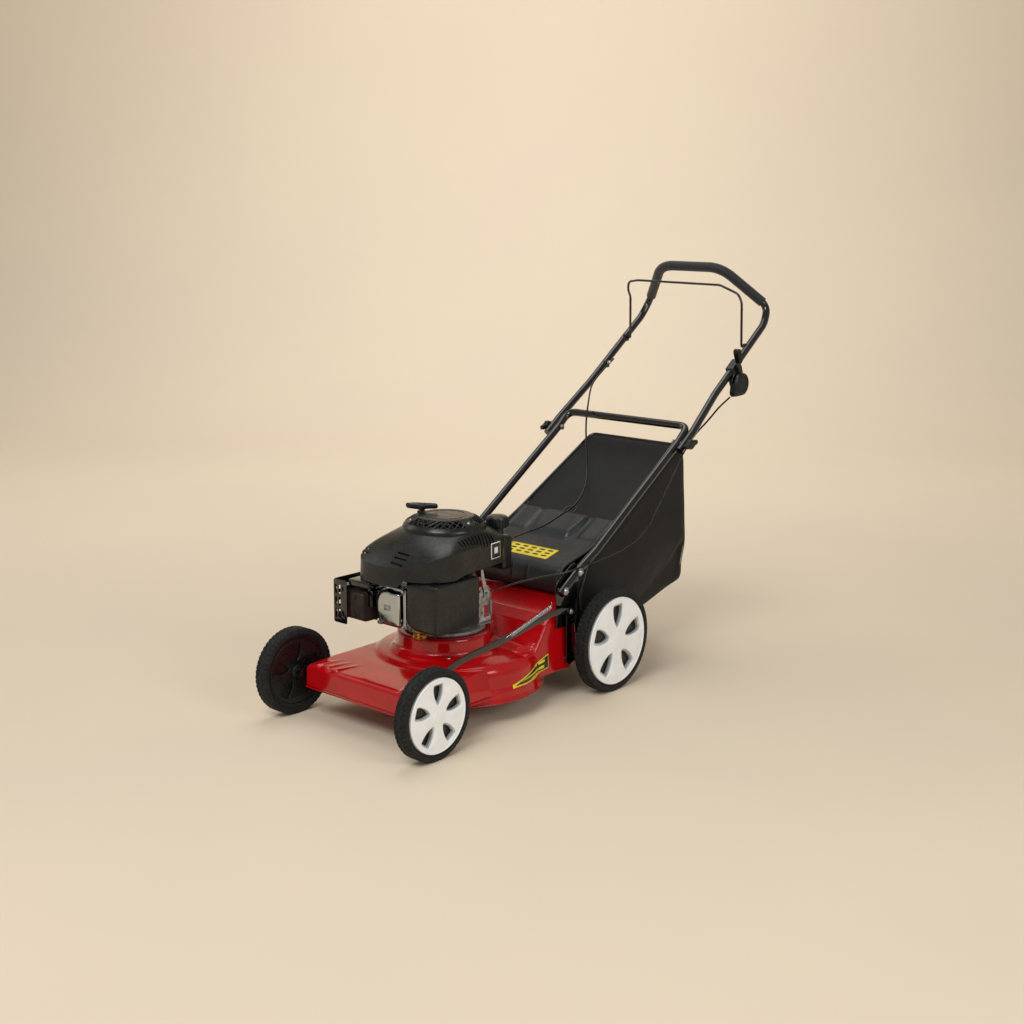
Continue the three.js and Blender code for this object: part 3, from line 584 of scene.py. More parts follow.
def stoved_enamel_red():
    # Stoved enamel over pressed steel: deep gloss with a faint orange-peel ripple about 4 mm across.
    material, tree, shader = new_material(
        "stoved_enamel_red", look().enamel_hex, 0.14,
        **{"Specular IOR Level": 0.4, "Coat Weight": 0.25, "Coat Roughness": 0.03}
    )
    vary_colour(tree, shader, noise(tree, 60), look().enamel_hex, "B8070F")
    vary_roughness(tree, shader, noise(tree, 25), 0.1, 0.17)
    raise_bumps(tree, shader, noise(tree, 4, 1.0), 0.05, 0.35)
    return material


def moulded_polypropylene(name, colour, second, low, high, grain_mm=0.9, depth_mm=0.05):
    # Injection-moulded polypropylene: satin, with a fine spark-eroded grain from the mould.
    material, tree, shader = new_material(
        name, colour, (low + high) / 2, IOR=1.49, **{"Specular IOR Level": 0.5}
    )
    vary_colour(tree, shader, noise(tree, 45), colour, second)
    vary_roughness(tree, shader, noise(tree, 12), low, high)
    raise_bumps(tree, shader, noise(tree, grain_mm, 2.0), depth_mm, 0.6)
    return material


def tyre_rubber():
    # Vulcanised rubber: dark and dull, dusted lighter where it has rolled.
    material, tree, shader = new_material(
        "tyre_rubber", "141515", 0.78, IOR=1.52, **{"Specular IOR Level": 0.35}
    )
    vary_colour(tree, shader, noise(tree, 18, 5.0), "101111", "1D1E1E")
    vary_roughness(tree, shader, noise(tree, 9), 0.62, 0.86)
    raise_bumps(tree, shader, noise(tree, 1.2, 3.0), 0.12, 0.5)
    return material


def powder_coat_black():
    # Gloss black powder coat on steel tube: bright long highlights and a soft ripple.
    material, tree, shader = new_material(
        "powder_coat_black", "060607", 0.14,
        **{"Specular IOR Level": 0.5, "Coat Weight": 0.6, "Coat Roughness": 0.04}
    )
    vary_roughness(tree, shader, noise(tree, 14), 0.1, 0.18)
    raise_bumps(tree, shader, noise(tree, 2.2, 2.0), 0.03, 0.4)
    return material


def bright_zinc():
    # Bright zinc plate on pressed steel and bolts: silvery with faint cloudy patches.
    material, tree, shader = new_material("bright_zinc", "C6C9CB", 0.26, 1.0)
    vary_colour(tree, shader, noise(tree, 7, 4.0), "9DA1A4", "C9CCCD")
    vary_roughness(tree, shader, noise(tree, 5), 0.2, 0.42)
    raise_bumps(tree, shader, noise(tree, 1.0, 2.0), 0.02, 0.4)
    return material


def bright_nickel():
    # Bright plated pressing on the rocker cover: mirror-like with slight waviness.
    material, tree, shader = new_material("bright_nickel", "B4BABC", 0.08, 1.0)
    vary_roughness(tree, shader, noise(tree, 16), 0.06, 0.16)
    raise_bumps(tree, shader, noise(tree, 9, 2.0), 0.25, 0.35)
    return material


def cast_aluminium():
    # Die-cast aluminium: light grey, matt, with a fine sandy skin about 1 mm in grain.
    material, tree, shader = new_material("cast_aluminium", "9B9D9F", 0.6, 0.75)
    vary_colour(tree, shader, noise(tree, 11, 4.0), "808385", "A9ABAD")
    vary_roughness(tree, shader, noise(tree, 4), 0.52, 0.72)
    raise_bumps(tree, shader, noise(tree, 1.1, 3.0), 0.12, 0.7)
    return material


def heat_darkened_steel():
    # Exhaust sheet steel after running hot: brown oxide over steel, patchy and dull.
    material, tree, shader = new_material("heat_darkened_steel", "2E2622", 0.45, 0.4)
    vary_colour(tree, shader, noise(tree, 30, 3.0), "261F1C", "382C26")
    vary_roughness(tree, shader, noise(tree, 8), 0.4, 0.66)
    raise_bumps(tree, shader, noise(tree, 2.0, 3.0), 0.06, 0.5)
    return material


def turned_brass():
    # Turned brass carburettor fittings: yellow metal with fine lathe marks round them.
    material, tree, shader = new_material("turned_brass", "B98B45", 0.3, 1.0)
    vary_colour(tree, shader, noise(tree, 6, 3.0), "8F6A33", "C79A55")
    vary_roughness(tree, shader, noise(tree, 3, 2.0, (1, 1, 6)), 0.22, 0.42)
    return material


def ground_steel():
    # Heat-treated blade steel: grey with lengthwise grinding marks.
    material, tree, shader = new_material("ground_steel", "6E7377", 0.35, 1.0)
    vary_colour(tree, shader, noise(tree, 8, 4.0, (0.2, 2, 1)), "55595D", "83888C")
    vary_roughness(tree, shader, noise(tree, 3, 3.0, (0.1, 3, 1)), 0.28, 0.5)
    raise_bumps(tree, shader, noise(tree, 1.5, 2.0, (0.1, 4, 1)), 0.03, 0.5)
    return material


def white_polypropylene():
    # White moulded polypropylene wheel trim: clean satin white, slightly blue in shade.
    material, tree, shader = new_material("white_polypropylene", "F6F8F8", 0.34, IOR=1.49)
    vary_colour(tree, shader, noise(tree, 30, 3.0), "F1F4F5", "FBFCFC")
    vary_roughness(tree, shader, noise(tree, 10), 0.32, 0.46)
    raise_bumps(tree, shader, noise(tree, 1.4, 2.0), 0.04, 0.4)
    return material


def closed_cell_foam():
    # Closed-cell foam sleeve: charcoal, dull, with cells about 1.5 mm across, drawn coarse enough to show.
    material, tree, shader = new_material(
        "closed_cell_foam", "1B1D1F", 0.6, IOR=1.4, **{"Sheen Weight": 0.25, "Sheen Roughness": 0.5}
    )
    place = add(tree, "ShaderNodeTexCoord")
    cells = add(tree, "ShaderNodeTexVoronoi", {"Vector": place.outputs["Object"], "Scale": 650.0})
    # The colour darkens in each cell's pit, where the bumps sink: painted shade in the cells.
    vary_colour(tree, shader, cells.outputs["Distance"], "17181A", "232528")
    raise_bumps(tree, shader, cells.outputs["Distance"], 0.3, 0.7)
    return material


def woven_polyester():
    # Coated woven polyester of the grass bag: threads drawn 1.6 mm apart so that the weave just shows.
    material, tree, shader = new_material(
        "woven_polyester", "0C0D0E", 0.62, IOR=1.45,
        **{"Specular IOR Level": 0.35, "Sheen Weight": 0.08, "Sheen Roughness": 0.4}
    )
    place = add(tree, "ShaderNodeTexCoord")
    threads = []
    for direction in ("X", "Z"):
        wave = add(
            tree, "ShaderNodeTexWave",
            {"Vector": place.outputs["Object"], "Scale": 98.0, "Distortion": 0.6, "Detail": 1.0},
            bands_direction=direction
        )
        threads.append(wave.outputs["Fac"])
    weave = maths(tree, "MULTIPLY", *threads)
    creases_and_crease_shade = noise(tree, 70, 4.0, (1, 0.6, 1))
    # The colour darkens where the crease bumps sink: painted shade in the creases.
    vary_colour(tree, shader, creases_and_crease_shade, "0B0C0D", "131416")
    height = maths(tree, "ADD", maths(tree, "MULTIPLY", weave, 0.25), creases_and_crease_shade)
    raise_bumps(tree, shader, height, 2.2, 0.5)
    return material


def printed_film(name, colour):
    # Screen-printed vinyl film of a label: flat colour under a light gloss.
    material, tree, shader = new_material(
        name, colour, 0.35, IOR=1.5, **{"Coat Weight": 0.3, "Coat Roughness": 0.15}
    )
    vary_roughness(tree, shader, noise(tree, 8), 0.28, 0.42)
    raise_bumps(tree, shader, noise(tree, 6, 2.0), 0.03, 0.4)
    return material


def matt_backdrop():
    # Seamless studio backdrop: warm pale beige and completely matt, with a trace of paper grain.
    material, tree, shader = new_material(
        "matt_backdrop", look().floor_hex, 0.95, **{"Specular IOR Level": 0.1}
    )
    vary_colour(tree, shader, noise(tree, 900), look().floor_hex, "E3D5BE")
    raise_bumps(tree, shader, noise(tree, 3.0, 2.0), 0.05, 0.2)
    return material


MAKERS = {
    "enamel": stoved_enamel_red,
    "black_plastic": lambda: moulded_polypropylene("polypropylene_black", "0B0D0E", "121516", 0.24, 0.38),
    "gloss_plastic": lambda: moulded_polypropylene(
        "nylon_gloss_black", "08090A", "0D0E0F", 0.14, 0.24, 1.6, 0.02
    ),
    "grey_plastic": lambda: moulded_polypropylene("polypropylene_graphite", "17191B", "202426", 0.32, 0.48),
    # Pale grey that stands for the white trim's plastic in shade: painted shade on the window recesses.
    "white_plastic_painted_shade": lambda: moulded_polypropylene(
        "polypropylene_white_painted_shade", "AEB2B2", "BFC3C2", 0.38, 0.5
    ),
    "rubber": tyre_rubber,
    "steel_black": powder_coat_black,
    "zinc": bright_zinc,
    "nickel": bright_nickel,
    "aluminium": cast_aluminium,
    "exhaust": heat_darkened_steel,
    "brass": turned_brass,
    "blade": ground_steel,
    "white": white_polypropylene,
    "foam": closed_cell_foam,
    "fabric": woven_polyester,
    "label_yellow": lambda: printed_film("vinyl_film_yellow", "E9D21C"),
    "label_black": lambda: printed_film("vinyl_film_black", "121212"),
    "label_white": lambda: printed_film("vinyl_film_white", "E8E8E4"),
    "backdrop": matt_backdrop,
}
made_materials = {}


def material(name):
    """The material of that name, made the first time it is asked for."""
    if name not in made_materials:
        made_materials[name] = MAKERS[name]()
    return made_materials[name]


# ---- geometry node trees: what repeats ----


def new_tree(name, inputs):
    """An empty geometry tree with named inputs: (name, socket type, default)."""
    tree = bpy.data.node_groups.new(name, "GeometryNodeTree")
    for label, kind, default in inputs:
        socket = tree.interface.new_socket(name=label, in_out="INPUT", socket_type=kind)
        if default is not None:
            socket.default_value = default
    tree.interface.new_socket(name="Geometry", in_out="OUTPUT", socket_type="NodeSocketGeometry")
    start = add(tree, "NodeGroupInput")
    return tree, start.outputs


def end_tree(tree, instances, material_socket):
    """Realize Instances, Set Material and the output."""
    real = add(tree, "GeometryNodeRealizeInstances", {"Geometry": instances})
    painted = add(
        tree, "GeometryNodeSetMaterial", {"Geometry": real.outputs["Geometry"], "Material": material_socket}
    )
    add(tree, "NodeGroupOutput", {"Geometry": painted.outputs["Geometry"]})


def ring_tree():
    """Copies of a piece round the Z axis, each turned to face outwards."""
    tree, given = new_tree(
        "Ring of pieces",
        [
            ("Piece", "NodeSocketObject", None),
            ("Count", "NodeSocketInt", 12),
            ("Radius", "NodeSocketFloat", 0.05),
            ("Height", "NodeSocketFloat", 0.0),
            ("First Angle", "NodeSocketFloat", 0.0),
            ("Material", "NodeSocketMaterial", None),
        ],
    )
    piece_info = add(tree, "GeometryNodeObjectInfo", {"Object": given["Piece"]}, transform_space="ORIGINAL")
    index = add(tree, "GeometryNodeInputIndex")
    step = maths(tree, "DIVIDE", 2 * math.pi, given["Count"])
    turn = maths(tree, "MULTIPLY_ADD", index.outputs["Index"], step, given["First Angle"])
    x, y = maths(tree, "COSINE", turn), maths(tree, "SINE", turn)
    out = add(tree, "ShaderNodeCombineXYZ", {"X": x, "Y": y})
    reach = add(
        tree, "ShaderNodeVectorMath", {0: out.outputs["Vector"], "Scale": given["Radius"]}, operation="SCALE"
    )
    lift = add(tree, "ShaderNodeCombineXYZ", {"Z": given["Height"]})
    place = add(
        tree, "ShaderNodeVectorMath", {0: reach.outputs["Vector"], 1: lift.outputs["Vector"]}, operation="ADD"
    )
    points = add(tree, "GeometryNodePoints", {"Count": given["Count"], "Position": place.outputs["Vector"]})
    facing = add(tree, "ShaderNodeCombineXYZ", {"Z": turn})
    copies = add(
        tree,
        "GeometryNodeInstanceOnPoints",
        {
            "Points": points.outputs["Points"],
            "Instance": piece_info.outputs["Geometry"],
            "Rotation": facing.outputs["Vector"],
        },
    )
    end_tree(tree, copies.outputs["Instances"], given["Material"])
    return tree


def row_tree():
    """Copies of a piece in a straight row."""
    tree, given = new_tree(
        "Row of pieces",
        [
            ("Piece", "NodeSocketObject", None),
            ("Count", "NodeSocketInt", 3),
            ("Step", "NodeSocketVector", (0.0, 0.0, 0.01)),
            ("Material", "NodeSocketMaterial", None),
        ],
    )
    piece_info = add(tree, "GeometryNodeObjectInfo", {"Object": given["Piece"]}, transform_space="ORIGINAL")
    index = add(tree, "GeometryNodeInputIndex")
    place = add(
        tree,
        "ShaderNodeVectorMath",
        {0: given["Step"], "Scale": index.outputs["Index"]},
        operation="SCALE",
    )
    points = add(tree, "GeometryNodePoints", {"Count": given["Count"], "Position": place.outputs["Vector"]})
    copies = add(
        tree,
        "GeometryNodeInstanceOnPoints",
        {"Points": points.outputs["Points"], "Instance": piece_info.outputs["Geometry"]},
    )
    end_tree(tree, copies.outputs["Instances"], given["Material"])
    return tree


def coil_tree():
    """Round wire wound into a close coil along Z."""
    tree, given = new_tree(
        "Coil of wire",
        [
            ("Turns", "NodeSocketFloat", 20.0),
            ("Radius", "NodeSocketFloat", 0.005),
            ("Length", "NodeSocketFloat", 0.1),
            ("Wire", "NodeSocketFloat", 0.001),
            ("Material", "NodeSocketMaterial", None),
        ],
    )
    spiral = add(
        tree,
        "GeometryNodeCurveSpiral",
        {
            "Resolution": 20,
            "Rotations": given["Turns"],
            "Start Radius": given["Radius"],
            "End Radius": given["Radius"],
            "Height": given["Length"],
        },
    )
    section = add(tree, "GeometryNodeCurvePrimitiveCircle", {"Radius": given["Wire"], "Resolution": 8})
    wire = add(
        tree,
        "GeometryNodeCurveToMesh",
        {"Curve": spiral.outputs["Curve"], "Profile Curve": section.outputs["Curve"], "Fill Caps": True},
    )
    end_tree(tree, wire.outputs["Mesh"], given["Material"])
    return tree


TREES = {"ring": ring_tree, "row": row_tree, "coil": coil_tree}
made_trees = {}


def grow(kind, values, item=None):
    """Runs a node tree and gives back its plain mesh. item is the Shape (mm, about 0,0,0) it repeats."""
    if kind not in made_trees:
        made_trees[kind] = TREES[kind]()
    tree = made_trees[kind]
    holder = link("holder", bpy.data.meshes.new("holder"))
    copy = None
    if item is not None:
        bm = to_bmesh(item.mapped(lambda p: p * MM))
        bmesh.ops.remove_doubles(bm, verts=bm.verts, dist=1e-6)
        mesh = bpy.data.meshes.new("item")
        bm.to_mesh(mesh)
        bm.free()
        copy = link("item", mesh)
        values = {**values, "Piece": copy}
    modifier = holder.modifiers.new("Repeat", "NODES")
    modifier.node_group = tree
    for socket in tree.interface.items_tree:
        if socket.in_out == "INPUT" and socket.name in values:
            modifier[socket.identifier] = values[socket.name]
    mesh = evaluated_mesh(holder)
    if copy is not None:
        bpy.data.objects.remove(copy)
    return mesh


def grown_shape(mesh):
    """A grown mesh as a Shape in millimetres, so that it can be moved and joined like the others."""
    made = Shape([v.co / MM for v in mesh.vertices], [tuple(f.vertices) for f in mesh.polygons])
    bpy.data.meshes.remove(mesh)
    return made


def ring(item, count, radius, height=0.0, first=0.0):
    values = {
        "Count": count, "Radius": radius * MM, "Height": height * MM, "First Angle": math.radians(first)
    }
    return grown_shape(grow("ring", values, item))


def row(item, count, step):
    return grown_shape(grow("row", {"Count": count, "Step": [s * MM for s in step]}, item))


# ---- settings a user would change ----


class MowerSettings(bpy.types.PropertyGroup):
    """Sizes and finishes of the mower's visual model."""

    tread_waves: IntProperty(
        name="Tread Waves", description="Waves of the tread groove round a rear tyre", default=34, min=8
    )
    tread_depth: FloatProperty(
        name="Tread Depth", description="Depth of the tread grooves, in millimetres", default=2.6, min=0.5
    )
    deck_voxel: FloatProperty(
        name="Deck Detail", description="Cell size of the fused deck pressing, in millimetres", default=3.2,
        min=1.5
    )
    fin_count: IntProperty(name="Cylinder Fins", description="Cooling fins on the cylinder", default=9, min=3)
    vent_count: IntProperty(
        name="Starter Vents", description="Diamond vents round the starter dome", default=32, min=8
    )
    knurl_count: IntProperty(name="Cap Ribs", description="Grip ribs round the fuel cap", default=22, min=6)
    spring_turns: FloatProperty(
        name="Spring Turns", description="Turns of the height spring", default=58, min=10
    )
    bag_sag: FloatProperty(
        name="Bag Gravity", description="Share of gravity that the bag's cloth feels", default=0.35, min=0
    )
    enamel: FloatVectorProperty(
        name="Enamel", description="Colour of the deck", subtype="COLOR", default=(0.38, 0.002, 0.004), size=3
    )
    floor: FloatVectorProperty(
        name="Backdrop", description="Colour of the floor and backdrop", subtype="COLOR",
        default=(0.75, 0.645, 0.51), size=3
    )

    @property
    def enamel_hex(self):
        return hex_of(self.enamel)

    @property
    def floor_hex(self):
        return hex_of(self.floor)


def hex_of(colour):
    """A linear colour as sRGB hex."""
    parts = []
    for c in colour:
        s = 12.92 * c if c <= 0.0031308 else 1.055 * c ** (1 / 2.4) - 0.055
        parts.append(f"{round(255 * s):02X}")
    return "".join(parts)


def look():
    return bpy.context.scene.mower


# ---- the stage ----


def soft_light(name, place, target, width, height, watts):
    data = bpy.data.lights.new(name, "AREA")
    data.shape = "RECTANGLE"
    data.size, data.size_y = width, height
    data.energy = watts
    thing = bpy.data.objects.new(name, data)
    thing.location = place
    thing.rotation_euler = (Vector(target) - Vector(place)).to_track_quat("-Z", "Y").to_euler()
    bpy.context.scene.collection.objects.link(thing)


LENS = 51.39  # millimetres
CAMERA_PLACE, CAMERA_TARGET = (2293.3, -2430.5, 1173.7), (-26.8, 228.3, 421.6)
CAMERA_ROLL = 0.39  # degrees
LAMPS = (  # name, place and target in metres, width and height in metres, power in watts
    ("key", (0.9, -3.0, 3.2), (0, 0, 0.3), 2.0, 1.4, 74),
    ("fill", (4.2, -0.6, 2.2), (0, 0, 0.4), 2.0, 1.6, 46),
    ("top", (-0.8, 0.4, 3.8), (0, 0, 0.2), 2.2, 2.2, 30),
    ("side", (-3.6, -1.4, 2.2), (0, 0, 0.4), 1.4, 2.4, 14),
    ("backdrop", (-1.6, 1.9, 3.4), (-3.2, 3.8, 1.2), 4.0, 1.6, 80),
)
FLOOR_FRONT, FLOOR_BACK, FLOOR_HALF = -14.0, 3.2, 16  # metres, along the camera's view and across it
TURN_UP, BACKDROP_TOP = 2.2, 9.0


class MOWER_OT_stage(bpy.types.Operator):
    """Sets the floor, the backdrop, the soft lights and the camera"""

    bl_idname = "mower.stage"
    bl_label = "Stage"

    def execute(self, context):
        camera = bpy.data.cameras.new("camera")
        camera.lens, camera.sensor_width = LENS, 36
        eye = bpy.data.objects.new("camera", camera)
        place, target = at(*CAMERA_PLACE), at(*CAMERA_TARGET)
        aim = (target - place).to_track_quat("-Z", "Y").to_matrix().to_4x4()
        eye.matrix_world = Matrix.Translation(place) @ aim @ Matrix.Rotation(
            math.radians(CAMERA_ROLL), 4, "Z"
        )
        context.scene.collection.objects.link(eye)
        context.scene.camera = eye
        floor = link("floor", self.sweep_of_paper())
        floor.data.materials.append(material("backdrop"))
        floor.data.shade_smooth()
        for lamp in LAMPS:
            soft_light(*lamp)
        world = bpy.data.worlds.new("studio")
        world.use_nodes = True
        background = world.node_tree.nodes["Background"]
        background.inputs["Color"].default_value = linear("FFFBF5")
        background.inputs["Strength"].default_value = 0.34
        context.scene.world = world
        context.scene.view_settings.view_transform = "Standard"
        return {"FINISHED"}

    def sweep_of_paper(self):
        """A floor that turns up into a backdrop far behind the mower, seen from the camera's side."""
        back = (at(*CAMERA_TARGET[:2], 0) - at(*CAMERA_PLACE[:2], 0)).normalized()
        side = Vector((-back.y, back.x, 0))
        line = [(FLOOR_FRONT, 0.0), (FLOOR_BACK, 0.0)]
        line += [
            (FLOOR_BACK + TURN_UP * math.sin(a), TURN_UP - TURN_UP * math.cos(a))
            for a in [math.pi / 2 * i / 14 for i in range(1, 15)]
        ]
        line.append((FLOOR_BACK + TURN_UP, BACKDROP_TOP))
        bm = bmesh.new()
        rows = []
        for along, up in line:
            rows.append(
                [
                    bm.verts.new(back * along + side * s + Vector((0, 0, up)))
                    for s in (-FLOOR_HALF, FLOOR_HALF)
                ]
            )
        for a, b in zip(rows, rows[1:]):
            bm.faces.new((a[0], b[0], b[1], a[1]))
        bmesh.ops.recalc_face_normals(bm, faces=bm.faces)
        mesh = bpy.data.meshes.new("floor")
        bm.to_mesh(mesh)
        bm.free()
        if mesh.polygons[0].normal.z < 0:
            mesh.flip_normals()
        return mesh


# ---- cables ----

BRAKE_CABLE = (
    (-188, 842, 742), (-187, 790, 712), (-178, 735, 681), (-125, 650, 641), (-95, 604, 582), (-40, 542, 485),
    (5, 472, 446), (20, 418, 418), (25, 349, 400), (22, 292, 384), (15, 243, 376), (8, 196, 368),
    (0, 150, 354),
    (-20, 127, 328), (-44, 116, 302), (-62, 90, 274),
)
THROTTLE_CABLE = (
    (222, 806, 674), (217, 764, 651), (214, 720, 622), (213, 660, 588), (212, 604, 538), (212, 560, 486),
    (212, 519, 437), (211, 458, 372), (210, 377, 343), (209.4, 279, 331), (208, 206, 325), (196, 160, 318),
    (165, 112, 311), (130, 60, 300), (103, 14, 287),
)
CABLE_RADIUS = 2.4
FOLD = (612, 574)  # y and z of the handle's fold bolts


class MOWER_OT_cables(bpy.types.Operator):
    """Makes the engine brake cable and the throttle cable, from the upper handle down to the engine"""

    bl_idname = "mower.cables"
    bl_label = "Control Cables"

    def execute(self, context):
        for name, points in (("brake_cable", BRAKE_CABLE), ("throttle_cable", THROTTLE_CABLE)):
            route = smooth_route(points, 7)
            thing = link(name + "_sheath", new_mesh(name, sweep(route, CABLE_RADIUS, 12)))
            thing.data.materials.append(material("gloss_plastic"))
            shade(thing.data, 60)
            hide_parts(name)
            path = [at(*p) for p in route]
            at(0, 560, 540)
            at(0, 700, 640)
            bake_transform(thing)
        return {"FINISHED"}


# ---- wheels ----

PETAL = (
    (0.3, 0.02), (0.34, 0.055), (0.42, 0.105), (0.52, 0.145), (0.62, 0.168), (0.74, 0.18), (0.82, 0.172),
    (0.855, 0.14)
)


def petal(trim, turn, scale=1.0, shift=0.0):
    """The outline of one wheel-trim window, its tip towards the hub."""
    middle = 0.6
    line = [(u, -v) for u, v in PETAL] + [(u, v) for u, v in reversed(PETAL)]
    line = [(middle + (u - middle) * scale, v * scale + shift) for u, v in line]
    c, s = math.cos(turn) * trim, math.sin(turn) * trim
    return [(u * c - v * s, u * s + v * c) for u, v in line]


def tread(radius, seat, waves, depth):
    """A tyre whose crown carries two wavy grooves and a row of scalloped shoulder blocks."""
    around = waves * 12
    columns = [
        (seat, -13), (seat + 3, -15.5), (radius - 11, -18), (radius - 8, -17.4), (radius - 5, -17.4),
        (radius - 1.6, -16.2)
    ]
    columns += [
        (radius, x)
        for x in (-15, -13, -11, -9.4, -8.2, -7, -5.8, -4.6, -3, -1, 1, 3, 4.6, 5.8, 7, 8.2, 9.4, 11, 13, 15)
    ]
    columns += [
        (radius - 1.6, 16.2), (radius - 5, 17.4), (radius - 8, 17.4), (radius - 11, 18), (seat + 3, 15.5),
        (seat, 13)
    ]
    points, faces = [], []
    for i in range(around):
        angle = 2 * math.pi * i / around
        wave = math.sin(angle * waves)
        for r, x in columns:
            if r > radius - 6:
                side = 1 if x > 0 else -1
                centre = 7.0 + 2.6 * wave * side
                gap = abs(abs(x) - centre)
                groove = max(0.0, 1 - (gap / 1.7) ** 2) * depth if abs(x) < 15.5 else 0
                notch = (
                    depth * 0.9 if abs(x) > centre + 2.5 and math.cos(angle * waves * 2 + side) > 0.72 else 0
                )
                r -= max(groove, notch)
            points.append((x, r * math.cos(angle), r * math.sin(angle)))
    n = len(columns)
    for i in range(around):
        j = (i + 1) % around
        for k in range(n):
            m = (k + 1) % n
            faces.append((i * n + k, i * n + m, j * n + m, j * n + k))
    bm = to_bmesh(Shape(points, faces))
    bmesh.ops.recalc_face_normals(bm, faces=bm.faces)
    return from_bmesh(bm)


class MOWER_OT_wheels(bpy.types.Operator):
    """Makes the four wheels: tyre, black rim, white trim with petal windows and the hub's nut"""

    bl_idname = "mower.wheels"
    bl_label = "Wheels"

    def execute(self, context):
        for name in WHEELS:
            self.wheel(name)
        return {"FINISHED"}

    def wheel(self, name):
        low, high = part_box("tyre_" + name)
        trim_low, trim_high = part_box("wheel_trim_" + name)
        radius = (high.z - low.z) / 2 / MM
        trim = (trim_high.z - trim_low.z) / 2 / MM
        centre = ((low.x + high.x) / 2 / MM, ((low.y + high.y) / 2 - MID_WHEELBASE) / MM, radius)
        side = 1 if centre[0] > 0 else -1
        body = "wheel_" + name
        waves = round(look().tread_waves * radius / 127)

        def here(shape):
            return (shape if side > 0 else shape.turned(180, "Z")).moved(*centre)

        rubber = tread(radius - 0.1, trim + 1, waves, look().tread_depth)
        piece("tyre_rubber_" + name, here(rubber), "rubber", body, ["tyre_" + name], sharp=30)
        seat = trim + 0.6
        dish = revolve(
            [
                (6.3, -15), (13, -15), (15, -13), (15.5, -6), (seat - 8, -7), (seat - 6, -12.6),
                (seat, -12.6), (seat, 12.6), (seat - 3, 12.6), (seat - 4, -3), (15, -2), (14, 12), (6.3, 12),
                (6.3, -15)
            ],
            64, "x"
        )
        pockets = [petal(trim * 0.94, math.pi / 2 + 2 * math.pi * i / 5, 0.94) for i in range(5)]
        face = slab(circle(0, 0, seat - 7, 72), -11.5, -7, "x", pockets, 1.0)
        nut = rod_stack((-14, 0, 0), (-1, 0, 0), [(2.0, 10.5), (1.4, 8.5)], 24)
        rim = here(dish + face + nut)
        piece("rim_moulding_" + name, rim, "black_plastic", body, ["rim_" + name], sharp=35)
        windows = [petal(trim, math.pi / 2 + 2 * math.pi * i / 5) for i in range(5)]
        cover = slab(circle(0, 0, trim - 2.0, 96), 6.5, 18.4, "x", windows, 1.5, 4)
        lip = revolve(
            [
                (trim - 4.5, 17), (trim - 3.5, 19.2), (trim - 1.2, 19.2), (trim, 17.6), (trim, 12),
                (trim - 4.5, 12), (trim - 4.5, 17)
            ],
            96, "x"
        )
        cap = revolve(
            [
                (0, 19.4), (trim * 0.15, 19.3), (trim * 0.185, 18.9), (trim * 0.2, 18.0), (trim * 0.2, 12.6),
                (0, 12.6)
            ],
            48, "x"
        )
        piece(
            "trim_moulding_" + name, here(cover + lip + cap), "white", body, ["wheel_trim_" + name], sharp=32
        )
        backing = slab(circle(0, 0, trim - 6, 64), 4.4, 6.2, "x", (), 0.5)
        # The liners give the trim's window recesses a pale grey: painted shade on the white trim's recess
        # walls.
        liners = sum(
            (
                slab(
                    petal(trim, math.pi / 2 + 2 * math.pi * i / 5, 0.985), 6.5, 15, "x",
                    [petal(trim, math.pi / 2 + 2 * math.pi * i / 5, 0.84, -0.012)], 0.5
                )
                for i in range(5)
            ),
            Shape()
        )
        piece("trim_backing_" + name, here(backing), "black_plastic", body)
        piece("trim_liners_" + name, here(liners), "white_plastic_painted_shade", body, sharp=40)


# ---- the deck ----


CHAMBER_RADIUS = 204


def chamber_solid():
    r = CHAMBER_RADIUS
    return revolve(
        [
            (0, 50), (r + 2, 50), (r + 3.5, 53), (r + 3, 58), (r, 60), (r, 79), (r - 3.5, 83), (r - 5, 116),
            (r - 9, 130), (r - 18, 139), (r - 54, 146), (127, 148), (0, 148)
        ],
        96
    )


def front_solid():
    return hull(
        both_sides(
            [
                (186, -312, 69), (186, 10, 69), (186, -309, 117), (181, -303, 124), (178, -205, 130),
                (170, 10, 134)
            ]
        )
    )


def rear_solid():
    return hull(
        both_sides(
            [
                (183, 20, 72), (183, 206, 72), (181, 232, 112), (178, 92, 157), (174, 120, 192),
                (167, 150, 210), (178, 226, 192), (158, 232, 236), (80, 232, 240)
            ]
        )
    )


def drum_solid():
    return revolve(
        [(0, 140), (130, 140), (126, 149), (118, 153), (113.5, 160), (112, 188), (110, 192), (0, 192)], 80
    ).moved(0, SHAFT_Y)


